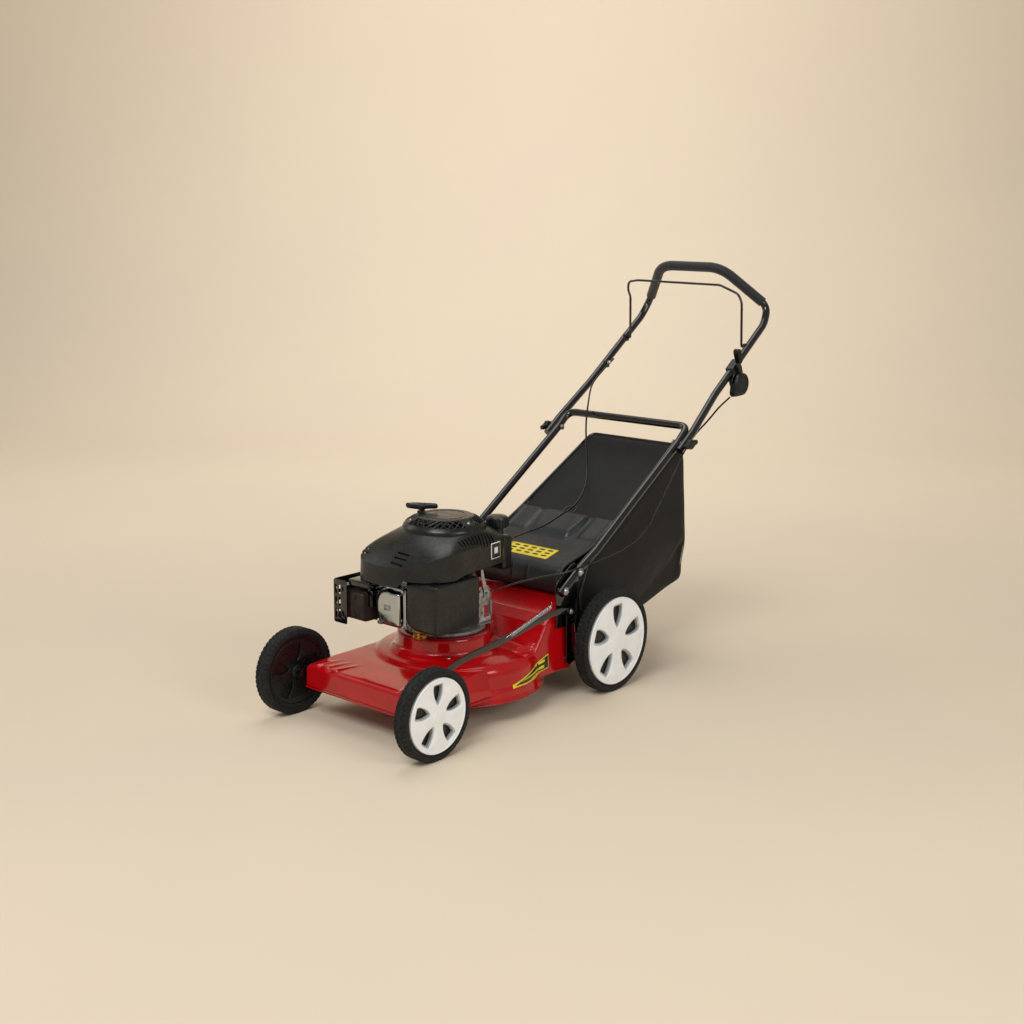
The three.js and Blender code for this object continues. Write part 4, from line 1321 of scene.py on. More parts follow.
class MOWER_OT_deck(bpy.types.Operator):
    """Makes the pressed deck: chamber, nose, raised tunnel, engine drum, stamped ribs and rolled lip"""

    bl_idname = "mower.deck"
    bl_label = "Deck"

    def execute(self, context):
        solid = chamber_solid() + front_solid() + rear_solid() + drum_solid()
        for x in (-158, -128, -98):
            solid += sweep([(x, -304, 120), (x + 22, -236, 128.5)], [8.5, 1.0], 16)
        for x in (118, 148):
            solid += sweep([(x, -304, 120), (x - 14, -250, 127.5)], [7.5, 1.0], 16)
        for side in SIDES:
            solid += rod((side * 168, 96, 150), (side * 150, 40, 146.5), 7, 16, 3)
        mesh = moulded("deck_pressing", solid, look().deck_voxel, 10)
        mesh = drop_faces(
            mesh, lambda p,
            n: (n.z < -0.4 and p.z < 84) or (n.y > 0.6 and abs(p.x) < 148 and 118 < p.z < 226 and p.y > 200)
        )
        deck = piece("deck_pressing", mesh, "enamel", "chassis", ["deck_shell"], sharp=60)
        thicken(deck, DECK_WALL)
        nose = [(-188, -70, 71), (-188, -313, 71), (188, -313, 71), (188, -70, 71)]
        bead = sweep(bent(nose, 10), 2.0, 10)
        arc = [
            (206.5 * math.cos(a), 206.5 * math.sin(a), 54)
            for a in [math.radians(-66 + 132 * i / 40) for i in range(41)]
        ]
        bead += sweep(arc, 2.0, 10) + sweep([(-x, y, z) for x, y, z in arc], 2.0, 10)
        ears = sum(
            (
                slab(
                    [(214, 226), (234, 226), (234, 252), (228, 258), (219, 258), (214, 252)], s * 156.5 - 1.5,
                    s * 156.5 + 1.5, "x"
                )
                for s in SIDES
            ),
            Shape()
        )
        piece("deck_rolled_lip", bead + ears, "enamel", "chassis", sharp=60)
        bolts = Shape()
        for s in SIDES:
            bolts += (
                dome_bolt((s * 183.5, *REAR_PIVOT), (s, 0, 0), 6)
                + dome_bolt((s * 186, *FRONT_PIVOT), (s, 0, 0), 5)
            )
            bolts += dome_bolt((s * 88, -120, 150), (0, 0, 1), 5)
        piece("deck_bolts", bolts, "zinc", "chassis")
        self.side_label(skin_of(deck.data))
        return {"FINISHED"}

    def side_label(self, skin):
        """A plain black crescent with a yellow edge and arrow, on the left bulge of the chamber."""

        def patch(outline, proud):
            points = []
            for s, z in outline:
                angle, r = s / CHAMBER_RADIUS, CHAMBER_RADIUS + 10
                near, normal, _, _ = skin.find_nearest(at(r * math.cos(angle), r * math.sin(angle), z))
                q = near + normal * proud * MM
                points.append(in_layout(q))
            return points

        def band(lower, upper, proud):
            points, faces = [], []
            steps = 28
            for i in range(steps + 1):
                t = i / steps
                (s, low), (_, high) = lower(t), upper(t)
                points += patch([(s, low + (high - low) * k / 4) for k in range(5)], proud)
            for i in range(steps):
                faces += [(5 * i + k, 5 * i + 5 + k, 5 * i + 6 + k, 5 * i + k + 1) for k in range(4)]
            return Shape(points, faces)

        def crescent(inset):
            def lower(t):
                return (-24 + inset + t * (150 - 2 * inset), 84.5 + inset + 6 * t - 2 * math.sin(math.pi * t))

            def upper(t):
                top = 90 + 36 * t**1.2 - inset
                return (-24 + inset + t * (150 - 2 * inset), max(top, lower(t)[1] + 0.2))

            return lower, upper

        edge = band(*crescent(0), 0.35)
        inner = band(*crescent(3), 0.6)
        arrow = band(
            lambda t: (2 + 106 * t, 90.5 + 5 * t), lambda t: (2 + 106 * t, 90.8 + 5 * t + 7 * t), 0.85
        )
        stripe = band(lambda t: (74 + 36 * t, 106 + 3 * t), lambda t: (74 + 36 * t, 111 + 5 * t), 0.85)
        for name, shape, finish in (
            ("side_label_edge", edge + arrow + stripe, "label_yellow"),
            ("side_label_field", inner, "label_black")
        ):
            thing = piece(name, shape, finish, "chassis")
            thing.modifiers.new("Film", "SOLIDIFY").thickness = 1.25 * FILM * MM


# ---- height adjustment ----


FRONT_PIVOT, REAR_PIVOT = (-270, 112), (189, 99)  # y and z where the cranked axles turn in the deck
FRONT_PIN, REAR_PIN = (-270, 72), (183, 220)  # y and z of the link bar's pins
LINK_SIDES = (196.2, 199.8)  # x of the link bar's two faces
CRANK_SIDES = (190.2, 193.8)


class MOWER_OT_height_gear(bpy.types.Operator):
    """Makes the link bar, its spring, the cranked axles and the height lever"""

    bl_idname = "mower.height_gear"
    bl_label = "Height Adjustment"

    def execute(self, context):
        self.link_bar()
        self.spring()
        self.axles()
        self.lever()
        return {"FINISHED"}

    def link_bar(self):
        line = [REAR_PIN, (120, 228), (-40, 205), (-215, 182), (-258, 140), FRONT_PIN]
        route = smooth_route([(0, y, z) for y, z in line], 6)
        upper, lower = [], []
        for i, p in enumerate(route):
            before, after = route[max(i - 1, 0)], route[min(i + 1, len(route) - 1)]
            along = (after - before).normalized()
            across = Vector((0, -along.z, along.y)) * 7.5
            upper.append(((p + across).y, (p + across).z))
            lower.append(((p - across).y, (p - across).z))
        plate = slab(upper + lower[::-1], *LINK_SIDES, "x", (), 0.8)
        plate += slab(circle(*REAR_PIN, 9), *LINK_SIDES, "x", [circle(*REAR_PIN, 3.4)], 0.6)
        plate += slab(circle(*FRONT_PIN, 12.3, 32), *LINK_SIDES, "x", [circle(*FRONT_PIN, 8)], 0.6)
        plate += slab([(150, 226), (150, 221), (128, 223.5), (128, 228.5)], 199.6, 200.3, "x", (), 0.2)
        piece("link_bar_strip", plate, "steel_black", "link", ["link_bar"])

    def spring(self):
        start, end = Vector((205.5, -46, 209.5)), Vector((205.5, 110, 251.5))
        along = end - start
        values = {
            "Turns": look().spring_turns, "Radius": 3.7 * MM, "Length": (along.length - 18) * MM,
            "Wire": 0.85 * MM
        }
        coil = grown_shape(grow("coil", values))
        turn = along.to_track_quat("Z", "Y").to_matrix()
        coil = coil.mapped(lambda p: turn @ (p + Vector((0, 0, 9))) + start)
        unit = along.normalized()
        hook = [
            start + unit * 10 + Vector((0, 0, 3)), start + unit * 5 + Vector((-1, 0, 2)),
            start + Vector((-4, 0, 0)), start + Vector((-6, -4, -3))
        ]
        tail = [
            end - unit * 10 + Vector((0, 0, 3)), end - unit * 5 + Vector((-1, 0, 2)),
            end + Vector((-4, 0, 0)), end + Vector((-9, 5, 4))
        ]
        coil += sweep(smooth_route(hook, 1.5), 0.9, 8) + sweep(smooth_route(tail, 1.5), 0.9, 8)
        piece("height_spring_coil", coil, "nickel", "chassis", ["height_spring"], sharp=60)

    def axles(self):
        for name, pivot, wheel, pin in (
            ("front_axle", FRONT_PIVOT, (-313, 101.6), FRONT_PIN),
            ("rear_axle", REAR_PIVOT, (313, 127), REAR_PIN),
        ):
            made = rod((-193, *pivot), (193, *pivot), 6, 28)
            for s in SIDES:
                arm = [
                    (s * x, y, z) for c, r in ((pivot, 11), (wheel, 10)) for y, z in circle(*c, r, 28)
                    for x in CRANK_SIDES
                ]
                made += hull(arm)
                made += (
                    rod((s * 193, *wheel), (s * 207, *wheel), 9.6, 28)
                    + rod((s * 200, *wheel), (s * 236, *wheel), 5.9, 24)
                )
            made += hull(
                [
                    (x, y, z) for c, r in ((pivot, 10), (pin, 8)) for y, z in circle(*c, r, 28)
                    for x in CRANK_SIDES
                ]
            )
            made += rod((193, *pin), (203, *pin), 3, 18)
            piece(name + "_crank", made, "steel_black", name + "_set", [name], ease=0.5)
            bolts = dome_bolt((200.8, *pin), (1, 0, 0), 5) if name == "rear_axle" else Shape()
            bolts += rod_stack((203.2, *pin), (1, 0, 0), [(1.2, 5), (2, 3.4)], 18)
            piece(name + "_pin", bolts, "zinc", name + "_set")

    def lever(self):
        pivot, end = REAR_PIVOT, (104, 246)
        strip = hull(
            [
                (x, y, z) for c, r in ((pivot, 11), (end, 7)) for y, z in circle(*c, r, 28)
                for x in (-198.1, -194.4)
            ]
        )
        grip = moulded("height_lever_grip", rod((-197, *end), (-235, *end), 10.6, 28, 4), 1.4, 4)
        piece("height_lever_strip", strip, "steel_black", "rear_axle_set", ["height_lever"], ease=0.5)
        piece("height_lever_grip", grip, "black_plastic", "rear_axle_set")
        middle = math.atan2(end[1] - pivot[1], end[0] - pivot[0])
        arc = [middle - 0.26 + 0.52 * i / 16 for i in range(17)]
        outline = [(pivot[0] + 128 * math.cos(a), pivot[1] + 128 * math.sin(a)) for a in arc]
        outline += [(pivot[0] + 92 * math.cos(a), pivot[1] + 92 * math.sin(a)) for a in reversed(arc)]
        notches = [
            circle(pivot[0] + 118 * math.cos(a), pivot[1] + 118 * math.sin(a), 3, 14) for a in arc[2:-1:3]
        ]
        plate = slab(outline, -189.6, -187.2, "x", notches, 0.5) + box((-188, 118, 150), (-176, 150, 172), 1)
        piece("lever_quadrant_plate", plate, "steel_black", "chassis", ["lever_quadrant"])


# ---- handles and controls ----


def leg_route(side):
    return [
        (side * 196, 148, 269), (side * 196, 215, 315), (side * 196, 285, 353), (side * 196, 407, 436),
        (side * 196, *FOLD), (side * 196, 656, 611)
    ]


def upper_route(side):
    return [
        (side * 216.8, 590, 557.9), (side * 216.8, 642, 596), (side * 205, 760, 684), (side * 203, 990, 853),
        (side * 195, 1018, 898), (side * 98, 932, 1001)
    ]


class MOWER_OT_handles(bpy.types.Operator):
    """Makes the brackets, the lower and upper handle, the foam grip and the fold knobs"""

    bl_idname = "mower.handles"
    bl_label = "Handles"

    def execute(self, context):
        for side, name in ((1, "left"), (-1, "right")):
            self.bracket(side, "handle_bracket_" + name)
            self.knob(side, name)
        route = bent([*leg_route(1), *leg_route(-1)[::-1]], 48, 10)
        piece(
            "lower_handle_tube", sweep(route, TUBE_RADIUS, 28), "steel_black", "chassis", ["lower_handle"],
            sharp=50
        )
        route = bent([*upper_route(1), *upper_route(-1)[::-1]], 80, 12)
        piece(
            "upper_handle_tube", sweep(route, TUBE_RADIUS, 28), "steel_black", "upper_frame",
            ["upper_handle"], sharp=50
        )
        top = bent([*upper_route(1)[3:], *upper_route(-1)[3:][::-1]], 80, 12)[11:-11]
        top = smooth_route(top, 9)
        radii = [13.4] * len(top)
        radii[0] = radii[-1] = 12.4
        radii[1] = radii[-2] = 13.2
        foam = piece(
            "grip_foam_sleeve", sweep(top, radii, 28), "foam", "upper_frame", ["grip_foam"], sharp=60
        )
        return {"FINISHED"}

    def bracket(self, side, name):
        outline = [
            (146, 262), (152, 181), (224, 181), (228, 258), (233, 312), (230, 322), (216, 331), (200, 327),
            (150, 294), (146, 286)
        ]
        low, high = sorted((side * 181.7, side * 184.3))
        made = slab(outline, low, high, "x", (), 0.9)
        x = sorted((side * 166, side * 182))
        made += (
            box((x[0], 162, 200), (x[1], 216, 203), 1)
            + box((side * 181.5 - 2, 206, 195), (side * 181.5 + 2, 211, 320), 1.5)
        )
        piece(name + "_plate", made, "steel_black", "chassis", [name])
        bolts = Shape()
        for y, z in ((157, 276), (211, 312)):
            bolts += (
                rod((side * 184, y, z), (side * 207, y, z), 4, 20)
                + dome_bolt((side * 205.6, y, z), (side, 0, 0), 7.4)
            )
            bolts += rod_stack((side * 181.8, y, z), (-side, 0, 0), [(5, 7)], 6)
        piece(name + "_bolts", bolts, "zinc", "chassis")

    def knob(self, side, name):
        y, z = FOLD
        made = rod((227.6, y, z), (242, y, z), 13, 36, 3)
        for turn in (0.2, 0.2 + math.pi):
            tip = (math.cos(turn), math.sin(turn))
            blade = [
                (x, y + r * tip[0] - w * tip[1], z + r * tip[1] + w * tip[0]) for x in (231, 241.5)
                for r, w in ((4, 8), (4, -8), (25, 5), (25, -5))
            ]
            made += hull(blade)
        if side < 0:
            made = made.mirrored()
        mesh = moulded("fold_knob_" + name, made, 1.3, 5)
        body = "knob_" + name
        piece("fold_knob_grip_" + name, mesh, "black_plastic", body, ["fold_knob_" + name], sharp=60)
        bolt = (
            rod((side * 182, y, z), (side * 229, y, z), 3.9, 20)
            + rod_stack((side * 180.6, y, z), (side, 0, 0), [(4.4, 7.8)], 6)
        )
        piece("fold_knob_bolt_" + name, bolt, "zinc", body)


class MOWER_OT_controls(bpy.types.Operator):
    """Makes the bail with its clamps, and the throttle box with its lever"""

    bl_idname = "mower.controls"
    bl_label = "Controls"

    def execute(self, context):
        y, z = 912, 797
        near = [(192.4, y, z), (184, y, z), (184, 906, 912), (176, 902, 935), (120, 896, 957)]
        far = [
            (-192.4, y, z), (-184, y, z), (-182, 906, 912), (-189, 903, 932), (-184, 899, 954),
            (-150, 896, 959)
        ]
        route = bent([*near, *far[::-1]], 30, 8)
        piece("bail_rod", sweep(route, 3.2, 20), "steel_black", "bail_bar", ["bail"], sharp=50)
        clamps = Shape()
        for s in (1, -1):
            clamps += moulded_clamp(s, 912, 797)
        clamps += moulded_clamp(-1, 823, 729)
        bolts = (
            dome_bolt((-207, 823, 729), (-1, 0, 0), 4.5) + dome_bolt((207, 912, 797), (1, 0, 0), 4)
            + dome_bolt((-188, 823, 733), (0.6, -0.6, 0.5), 4.5)
        )
        piece("bail_clamp_bolts", bolts, "zinc", "upper_frame")
        piece("bail_clamps", clamps, "black_plastic", "upper_frame")
        self.throttle()
        return {"FINISHED"}

    def throttle(self):
        y, z = 846, 706
        low = (
            [(216.5, *p) for p in circle(y, z, 32, 32)]
            + [(216.5, *p) for p in circle(y - 22, z - 20, 13.5, 20)]
        )
        high = (
            [(235.6, *p) for p in circle(y, z, 29, 32)] + [(232, *p) for p in circle(y - 22, z - 20, 11, 20)]
        )
        tube_z = 684 + (y - 760) * 169 / 230
        collar = [
            (x, y + a + u, tube_z + b + u * 0.735) for x in (194, 216) for u in (-16, 16)
            for a, b in ((-8, 11), (8, -11))
        ]
        shell = (
            hull(low + high)
            + hull(collar + [(x, *p) for x in (204, 222) for p in circle(y + 4, z + 6, 22, 20)])
        )
        cut = box((221.2, y - 40, z + 4), (227.8, y + 30, z + 60), 0)
        mesh = moulded("throttle_box", shell, 1.5, 5, cut)
        piece("throttle_box_shell", mesh, "black_plastic", "upper_frame", ["throttle_box"], sharp=45)
        seam = slab(circle(y, z, 24, 48), 235.3, 236.4, "x", [circle(y, z, 21.6, 48)], 0.3)
        seam += (
            rod_stack((234.8, y - 8, z - 12), (1, 0, 0), [(1.6, 3.4)], 20)
            + rod_stack((234.8, y + 12, z - 8), (1, 0, 0), [(1.6, 3.4)], 20)
        )
        piece("throttle_box_trim", seam, "grey_plastic", "upper_frame")
        stem = hull(
            [
                (x, *p) for x in (222.2, 226.8)
                for p in circle(y, z + 12, 4, 16) + [(y - 14, z + 66), (y - 6, z + 66)]
            ]
        )
        knob = hull(
            [
                (x, *p) for x in (217.5, 233.5)
                for p in circle(y - 9, z + 62, 7.6, 20) + circle(y - 18, z + 85, 8.6, 20)
            ]
        )
        mesh = moulded("throttle_lever", knob, 1.2, 6)
        piece(
            "throttle_lever_stem", stem, "steel_black", "speed_lever", ["throttle_lever"],
            ease=0.4
        )
        piece("throttle_lever_knob", mesh, "gloss_plastic", "speed_lever", sharp=60)


def moulded_clamp(side, y, z):
    """A plastic block on the handle tube that carries a pivot."""
    x0, x1 = sorted((side * 193.2, side * 203))
    made = box((x0, y - 11, z - 11), (x1, y + 9, z + 9), 3, 4)
    return made + rod((side * 196, y, z), (side * 207, y - 2, z - 3), 8, 28, 2)


# ---- flap and bag ----


FLAP = [
    (217, 246), (209, 262), (207, 284), (213, 302), (228, 313), (275, 325), (322, 338), (370, 362), (419, 390)
]


def flap_surface():
    """The flap's skin: a curved sheet with turned-down sides, a raised panel at the rear and two grooves."""
    route = smooth_route([(0, y, z) for y, z in FLAP], 5)
    count = len(route)
    across = [i / 90 * 2 - 1 for i in range(91)]
    points, faces = [], []
    for i, p in enumerate(route):
        before, after = route[max(i - 1, 0)], route[min(i + 1, count - 1)]
        along = (after - before).normalized()
        out = Vector((0, -along.z, along.y))
        for u in across:
            x = 149.2 * u
            lift = 0.0
            edge = max(0.0, abs(x) - 138) / 12
            lift += 2.0 * math.sin(min(1.0, edge * 2) * math.pi / 2) - 3.5 * max(0.0, edge - 0.5)
            if p.y > 318:
                wide = 60 + 12 * smooth_step(p.y, 334, 400)
                ramp = smooth_step(p.y, 332, 356) * (1 - 0.6 * smooth_step(p.y, 404, 419)) * (
                    1 - smooth_step(abs(x), wide - 10, wide + 3)
                )
                lift += 12.0 * ramp
            if p.y > 345:
                lift += 3.0 * smooth_step(p.y, 345, 352) * smooth_step(abs(x), 84, 92)
            if p.z < 300 and p.y < 216:
                for groove in (-5, 42):
                    lift -= 2.4 * math.exp(-(((x - groove) / 2.4) ** 2)) * smooth_step(p.z, 262, 268)
            points.append(p + out * lift + Vector((x, 0, 0)))
    n = len(across)
    for i in range(count - 1):
        for k in range(n - 1):
            faces.append((i * n + k, i * n + k + 1, (i + 1) * n + k + 1, (i + 1) * n + k))
    return Shape(points, faces)


class MOWER_OT_flap(bpy.types.Operator):
    """Makes the rear flap with its sleeves, its hinge rod and wire loop, and a plain label"""

    bl_idname = "mower.flap"
    bl_label = "Rear Flap"

    def execute(self, context):
        flap = piece("rear_flap_sheet", flap_surface(), "grey_plastic", "flap", ["rear_flap"], sharp=60)
        wall = flap.modifiers.new("Wall", "SOLIDIFY")
        wall.thickness, wall.offset = FLAP_WALL * MM, 1
        sleeves = Shape()
        for s in SIDES:
            sleeves += (
                rod((s * 96, 224, 250), (s * 134, 224, 250), 7.2, 28, 1)
                + box((min(s * 98, s * 132), 212, 248), (max(s * 98, s * 132), 222, 262), 1.5)
            )
        piece("rear_flap_sleeves", sleeves, "grey_plastic", "flap")
        made = rod((-163, 224, 250), (163, 224, 250), 3.4, 20)
        for s in SIDES:
            made += rod_stack((s * 159.6, 224, 250), (s, 0, 0), [(2.6, 6)], 24)
        piece("flap_hinge_rod", made, "zinc", "chassis", ["flap_rod"])
        loop = [
            (-16, 416, 396), (-16, 430, 404), (-10, 437, 407), (10, 437, 407), (16, 430, 404), (16, 416, 396)
        ]
        piece("flap_wire_loop", sweep(bent(loop, 5), 1.8, 12), "steel_black", "flap", sharp=60)
        graph = context.evaluated_depsgraph_get()
        self.label(skin_of(flap.evaluated_get(graph).data))
        return {"FINISHED"}

    def label(self, skin):
        """A yellow film with plain dark blocks where a notice would stand."""

        def film(x0, x1, s0, s1, proud):
            corner = (x0, 233 + s0 * 0.968, 318 + s0 * 0.26)
            return film_on(skin, corner, (1, 0, 0), (0, 0.966, 0.258), (x1 - x0, s1 - s0), proud, 10)

        marks = Shape()
        for i in range(3):
            for k in range(5):
                marks += film(-56 + 27 * k, -40 + 27 * k, 12 + 14 * i, 19 + 14 * i, 0.45)
        for name, shape, finish in (
            ("flap_label", film(-72, 78, 2, 55, 0.2), "label_yellow"),
            ("flap_label_marks", marks, "label_black")
        ):
            thing = piece(name, shape, finish, "flap", sharp=60)
            thing.modifiers.new("Film", "SOLIDIFY").thickness = FILM * MM


BAG = [
    (152, 256, 112), (152, 256, 230), (160, 300, 318), (162, 416, 380), (149, 692, 556), (150, 712, 528),
    (152, 740, 197), (150, 731, 184), (148, 569, 139), (152, 400, 108)
]


class MOWER_OT_bag(bpy.types.Operator):
    """Makes the grass bag: frame, carrying tube and the sagging fabric with its bound seams"""

    bl_idname = "mower.bag"
    bl_label = "Grass Bag"

    def execute(self, context):
        ring_plate = slab(
            rounded((-157.5, 104.5), (157.5, 236), 9), 235, 253.5, "y", [rounded((-148, 114), (148, 226), 6)],
            2.0, 3
        )
        hooks = box((-150, 236, 230), (-96, 252, 239.5), 1.5) + box((96, 236, 230), (150, 252, 239.5), 1.5)
        piece("bag_frame_ring", ring_plate + hooks, "black_plastic", "bag", ["bag_frame"])
        side = [(163, 262, 200), (163, 262, 240), (162, 300, 330), (159, 416, 388), (142, 690, 553)]
        route = bent([*side, *[(-x, y, z) for x, y, z in side][::-1]], 22, 8)
        piece("bag_carrying_tube", sweep(route, 4, 20), "steel_black", "bag", ["bag_tube"], sharp=50)
        self.fabric()
        return {"FINISHED"}

    def fabric(self):
        thing = link("bag_skin", new_mesh("bag_skin", hull(both_sides(BAG))))
        fuse = thing.modifiers.new("Fuse", "REMESH")
        fuse.mode, fuse.voxel_size = "VOXEL", 9 * MM
        ease = thing.modifiers.new("Ease", "SMOOTH")
        ease.factor, ease.iterations = 0.5, 2
        mesh = evaluated_mesh(thing)
        mesh = sagged(
            mesh, lambda p: p.y < 275 or (abs(p.x) > 134 and p.z > 300) or (p.y > 676 and p.z > 520),
            look().bag_sag, 24, 13
        )
        mesh = drop_faces(mesh, lambda p, n: n.y < -0.6 and abs(p.x) < 146 and 116 < p.z < 224 and p.y < 275)
        bag = piece("bag_fabric_shell", mesh, "fabric", "bag", ["bag_fabric"], sharp=60)
        finer = bag.modifiers.new("Finer", "SUBSURF")
        finer.levels = finer.render_levels = 1
        thicken(bag, FABRIC_WALL)
        skin = skin_of(mesh)
        seams = Shape()
        for s in SIDES:
            line = smooth_route([(s * (x - 4), y, z) for x, y, z in BAG[1:9]], 9)
            seams += sweep(self.on_skin(skin, line, s), 1.3, 8)
        piece("bag_seam_binding", seams, "black_plastic", "bag", sharp=60)

    def on_skin(self, skin, line, side):
        """The line moved onto the fabric's surface, and evened out."""
        made = []
        for p in line:
            near = skin.find_nearest(at(p.x + side * 6, p.y, p.z))[0]
            made.append(in_layout(near))
        for _ in range(3):
            made = [made[0], *[(a + b * 2 + c) / 4 for a, b, c in zip(made, made[1:], made[2:])], made[-1]]
        return made


def sagged(mesh, held, gravity, steps, most):
    """Cloth that hangs from where it is held. No point moves further than most millimetres."""
    rest = [v.co.copy() for v in mesh.vertices]
    thing = link("cloth", mesh)
    group = thing.vertex_groups.new(name="held")
    held_points = [v.index for v in mesh.vertices if held(in_layout(v.co))]
    group.add(held_points, 1.0, "ADD")
    cloth = thing.modifiers.new("Sag", "CLOTH")
    cloth.settings.vertex_group_mass = "held"
    cloth.settings.quality = 5
    cloth.settings.mass = 0.4
    cloth.settings.tension_stiffness = cloth.settings.compression_stiffness = 25
    cloth.settings.shear_stiffness = 12
    cloth.settings.bending_stiffness = 4
    cloth.settings.effector_weights.gravity = gravity
    cloth.point_cache.frame_start, cloth.point_cache.frame_end = 1, steps
    scene = bpy.context.scene
    for number in range(1, steps + 1):
        scene.frame_set(number)
    made = evaluated_mesh(thing)
    scene.frame_set(1)
    for vert, start in zip(made.vertices, rest):
        move = vert.co - start
        if move.length > most * MM:
            vert.co = start + move.normalized() * most * MM
    return made


# ---- engine ----


def engine(shape):
    """A shape written about the crankshaft's axis, moved to the engine's place on the deck."""
    return shape.moved(0, SHAFT_Y)


class MOWER_OT_engine_block(bpy.types.Operator):
    """Makes the crankcase, the finned cylinder, the rocker cover and the spark plug"""

    bl_idname = "mower.engine_block"
    bl_label = "Engine Block"

    def execute(self, context):
        low = revolve(
            [
                (0, 192.4), (94, 192.4), (95, 194), (95, 200), (92, 202), (74, 203), (72, 206), (72, 322),
                (69, 326), (0, 326)
            ],
            72
        )
        case = low + revolve([(0, 320), (52, 320), (50, 342), (46, 345), (0, 345)], 48)
        for k in range(3):
            a = math.radians(30 + 120 * k)
            case += rod(
                (88 * math.cos(a), 88 * math.sin(a), 192.6), (88 * math.cos(a), 88 * math.sin(a), 206), 9, 24
            )
        case += ring(box((-3, -9, -52), (2, 9, 52), 1), 14, 72, 264, 12)
        case += box((-74, 62, 194), (-54, 84, 239), 2) + rod((-82, 30, 198), (-82, 30, 261), 13, 32, 1.5)
        mesh = moulded("crankcase", case, 2.0, 3)
        piece("crankcase_casting", engine_mesh(mesh), "aluminium", "chassis", ["crankcase"], sharp=60)
        core = box((-45, -146, 241), (1, -64, 299), 3) + box((-63, -146, 231), (17, -128, 305), 3)
        count = look().fin_count
        fin = box((-62, -126, -1.5), (18, -42, 1.5), 0.8, 2)
        fins = row(fin, count, (0, 0, 66 / (count - 1))).moved(0, 0, 235.5)
        piece("cylinder_casting", engine(core + fins), "aluminium", "chassis", ["cylinder_block"])
        self.rocker_cover()
        plug = (
            rod_stack((-22, -132, 304.6), (0, 0, 1), [(7, 9), (6, 7)], 6)
            + rod_stack((-22, -132, 316), (0, 0, 1), [(5, 6), (12, 4.6), (6, 3)], 24)
        )
        boot = sweep(
            smooth_route(
                [(-22, -132, 322), (-22, -132, 334), (-22, -128, 341), (-22, -116, 344), (-22, -98, 343)], 4
            ),
            5.2, 16
        )
        piece("spark_plug_shell", engine(plug), "zinc", "chassis", ["spark_plug"])
        piece("spark_plug_boot", engine(boot), "rubber", "chassis", sharp=60)
        return {"FINISHED"}

    def rocker_cover(self):
        rim = slab(rounded((-65.5, 220), (23.5, 315), 12), -152, -146.6, "y", (), 1.5, 3)
        bow = [
            (-22 + 38 * math.cos(a), 268 + 40 * math.sin(a))
            for a in [math.radians(70 + 220 * i / 24) for i in range(25)]
        ]
        crown = slab([*bow, (12, 227), (17, 232), (17, 302), (12, 307)], -166.6, -149, "y", (), 6, 6)
        corners = ((-59, 226), (17, 226), (-59, 309), (17, 309))
        ears = sum((rod((x, -152, z), (x, -146.6, z), 8, 24, 1.5) for x, z in corners), Shape())
        mesh = moulded("rocker_cover", rim + crown + ears, 1.4, 4)
        piece("rocker_cover_pressing", engine_mesh(mesh), "nickel", "chassis", ["valve_cover"], sharp=60)
        bolts = Shape()
        for x, z in ((-60, 225), (18, 225), (-60, 310), (18, 310)):
            bolts += rod_stack((x, -151.5, z), (0, -1, 0), [(2, 6), (4.5, 4.6)], 6)
        bolts += slab([(-30, 262), (-12, 262), (-12, 274), (-30, 274)], -168.3, -166.4, "y", (), 0.6)
        piece("rocker_cover_bolts", engine(bolts), "zinc", "chassis")


def engine_mesh(thing):
    """A mesh written about the crankshaft's axis, moved to the engine's place."""
    thing.transform(Matrix.Translation((0, SHAFT_Y * MM, 0)))
    return thing


class MOWER_OT_exhaust(bpy.types.Operator):
    """Makes the silencer, its pipe flange and the slotted guard"""

    bl_idname = "mower.exhaust"
    bl_label = "Exhaust"

    def execute(self, context):
        can = (
            box((-154, -184, 225), (-74, -111, 301), 9, 5) + box((-119, -193.4, 230), (-74, -176, 296), 7, 4)
        )
        mesh = moulded("silencer", can + rod((-76, -129, 264), (-64.8, -129, 264), 12, 32), 1.8, 3)
        piece("silencer_shell", engine_mesh(mesh), "exhaust", "chassis", ["muffler"], sharp=60)
        seam = box((-154.6, -149, 224.4), (-73.6, -146.5, 301.6), 1)
        seam += (
            rod_stack((-100, -193, 284), (0, -1, 0), [(2, 6), (4, 4.4)], 6)
            + rod_stack((-100, -193, 242), (0, -1, 0), [(2, 6), (4, 4.4)], 6)
        )
        piece("silencer_seam", engine(seam), "exhaust", "chassis")
        slots = [rounded((x, z), (x + 6, z + 22), 2.9) for z in (226, 255, 284) for x in (-161, -149)]
        slots += [rounded((-137, z), (-132, z + 12), 2.4) for z in (232, 292)]
        guard = slab(rounded((-166, 215), (-122, 318), 5), -198, -196.4, "y", slots, 0.6)
        sides = [
            rounded((y, z), (y + 20, z + 9), 4) for z in (236, 254, 272, 290) for y in (-190, -162, -134)
        ]
        guard += slab(rounded((-197, 215), (-108, 318), 5), -166, -164.4, "x", sides, 0.6)
        guard += slab(
            [(-165, -197), (-122, -197), (-122, -150), (-50, -150), (-50, -120), (-165, -110)], 306.6, 308.2,
            "z", (), 0.6
        )
        piece("silencer_guard", engine(guard), "steel_black", "chassis", ["muffler_guard"])
        baffle = slab([(-74, 262), (-66, 262), (-66, 318), (-74, 318)], -176, -100, "y", (), 0.8)
        baffle += (
            box((-122, -192, 309), (-56, -100, 324), 3, 3) + rod((-66, -176, 296), (-66, -150, 296), 7, 24)
        )
        piece("silencer_baffle", engine(baffle), "steel_black", "chassis")
        return {"FINISHED"}


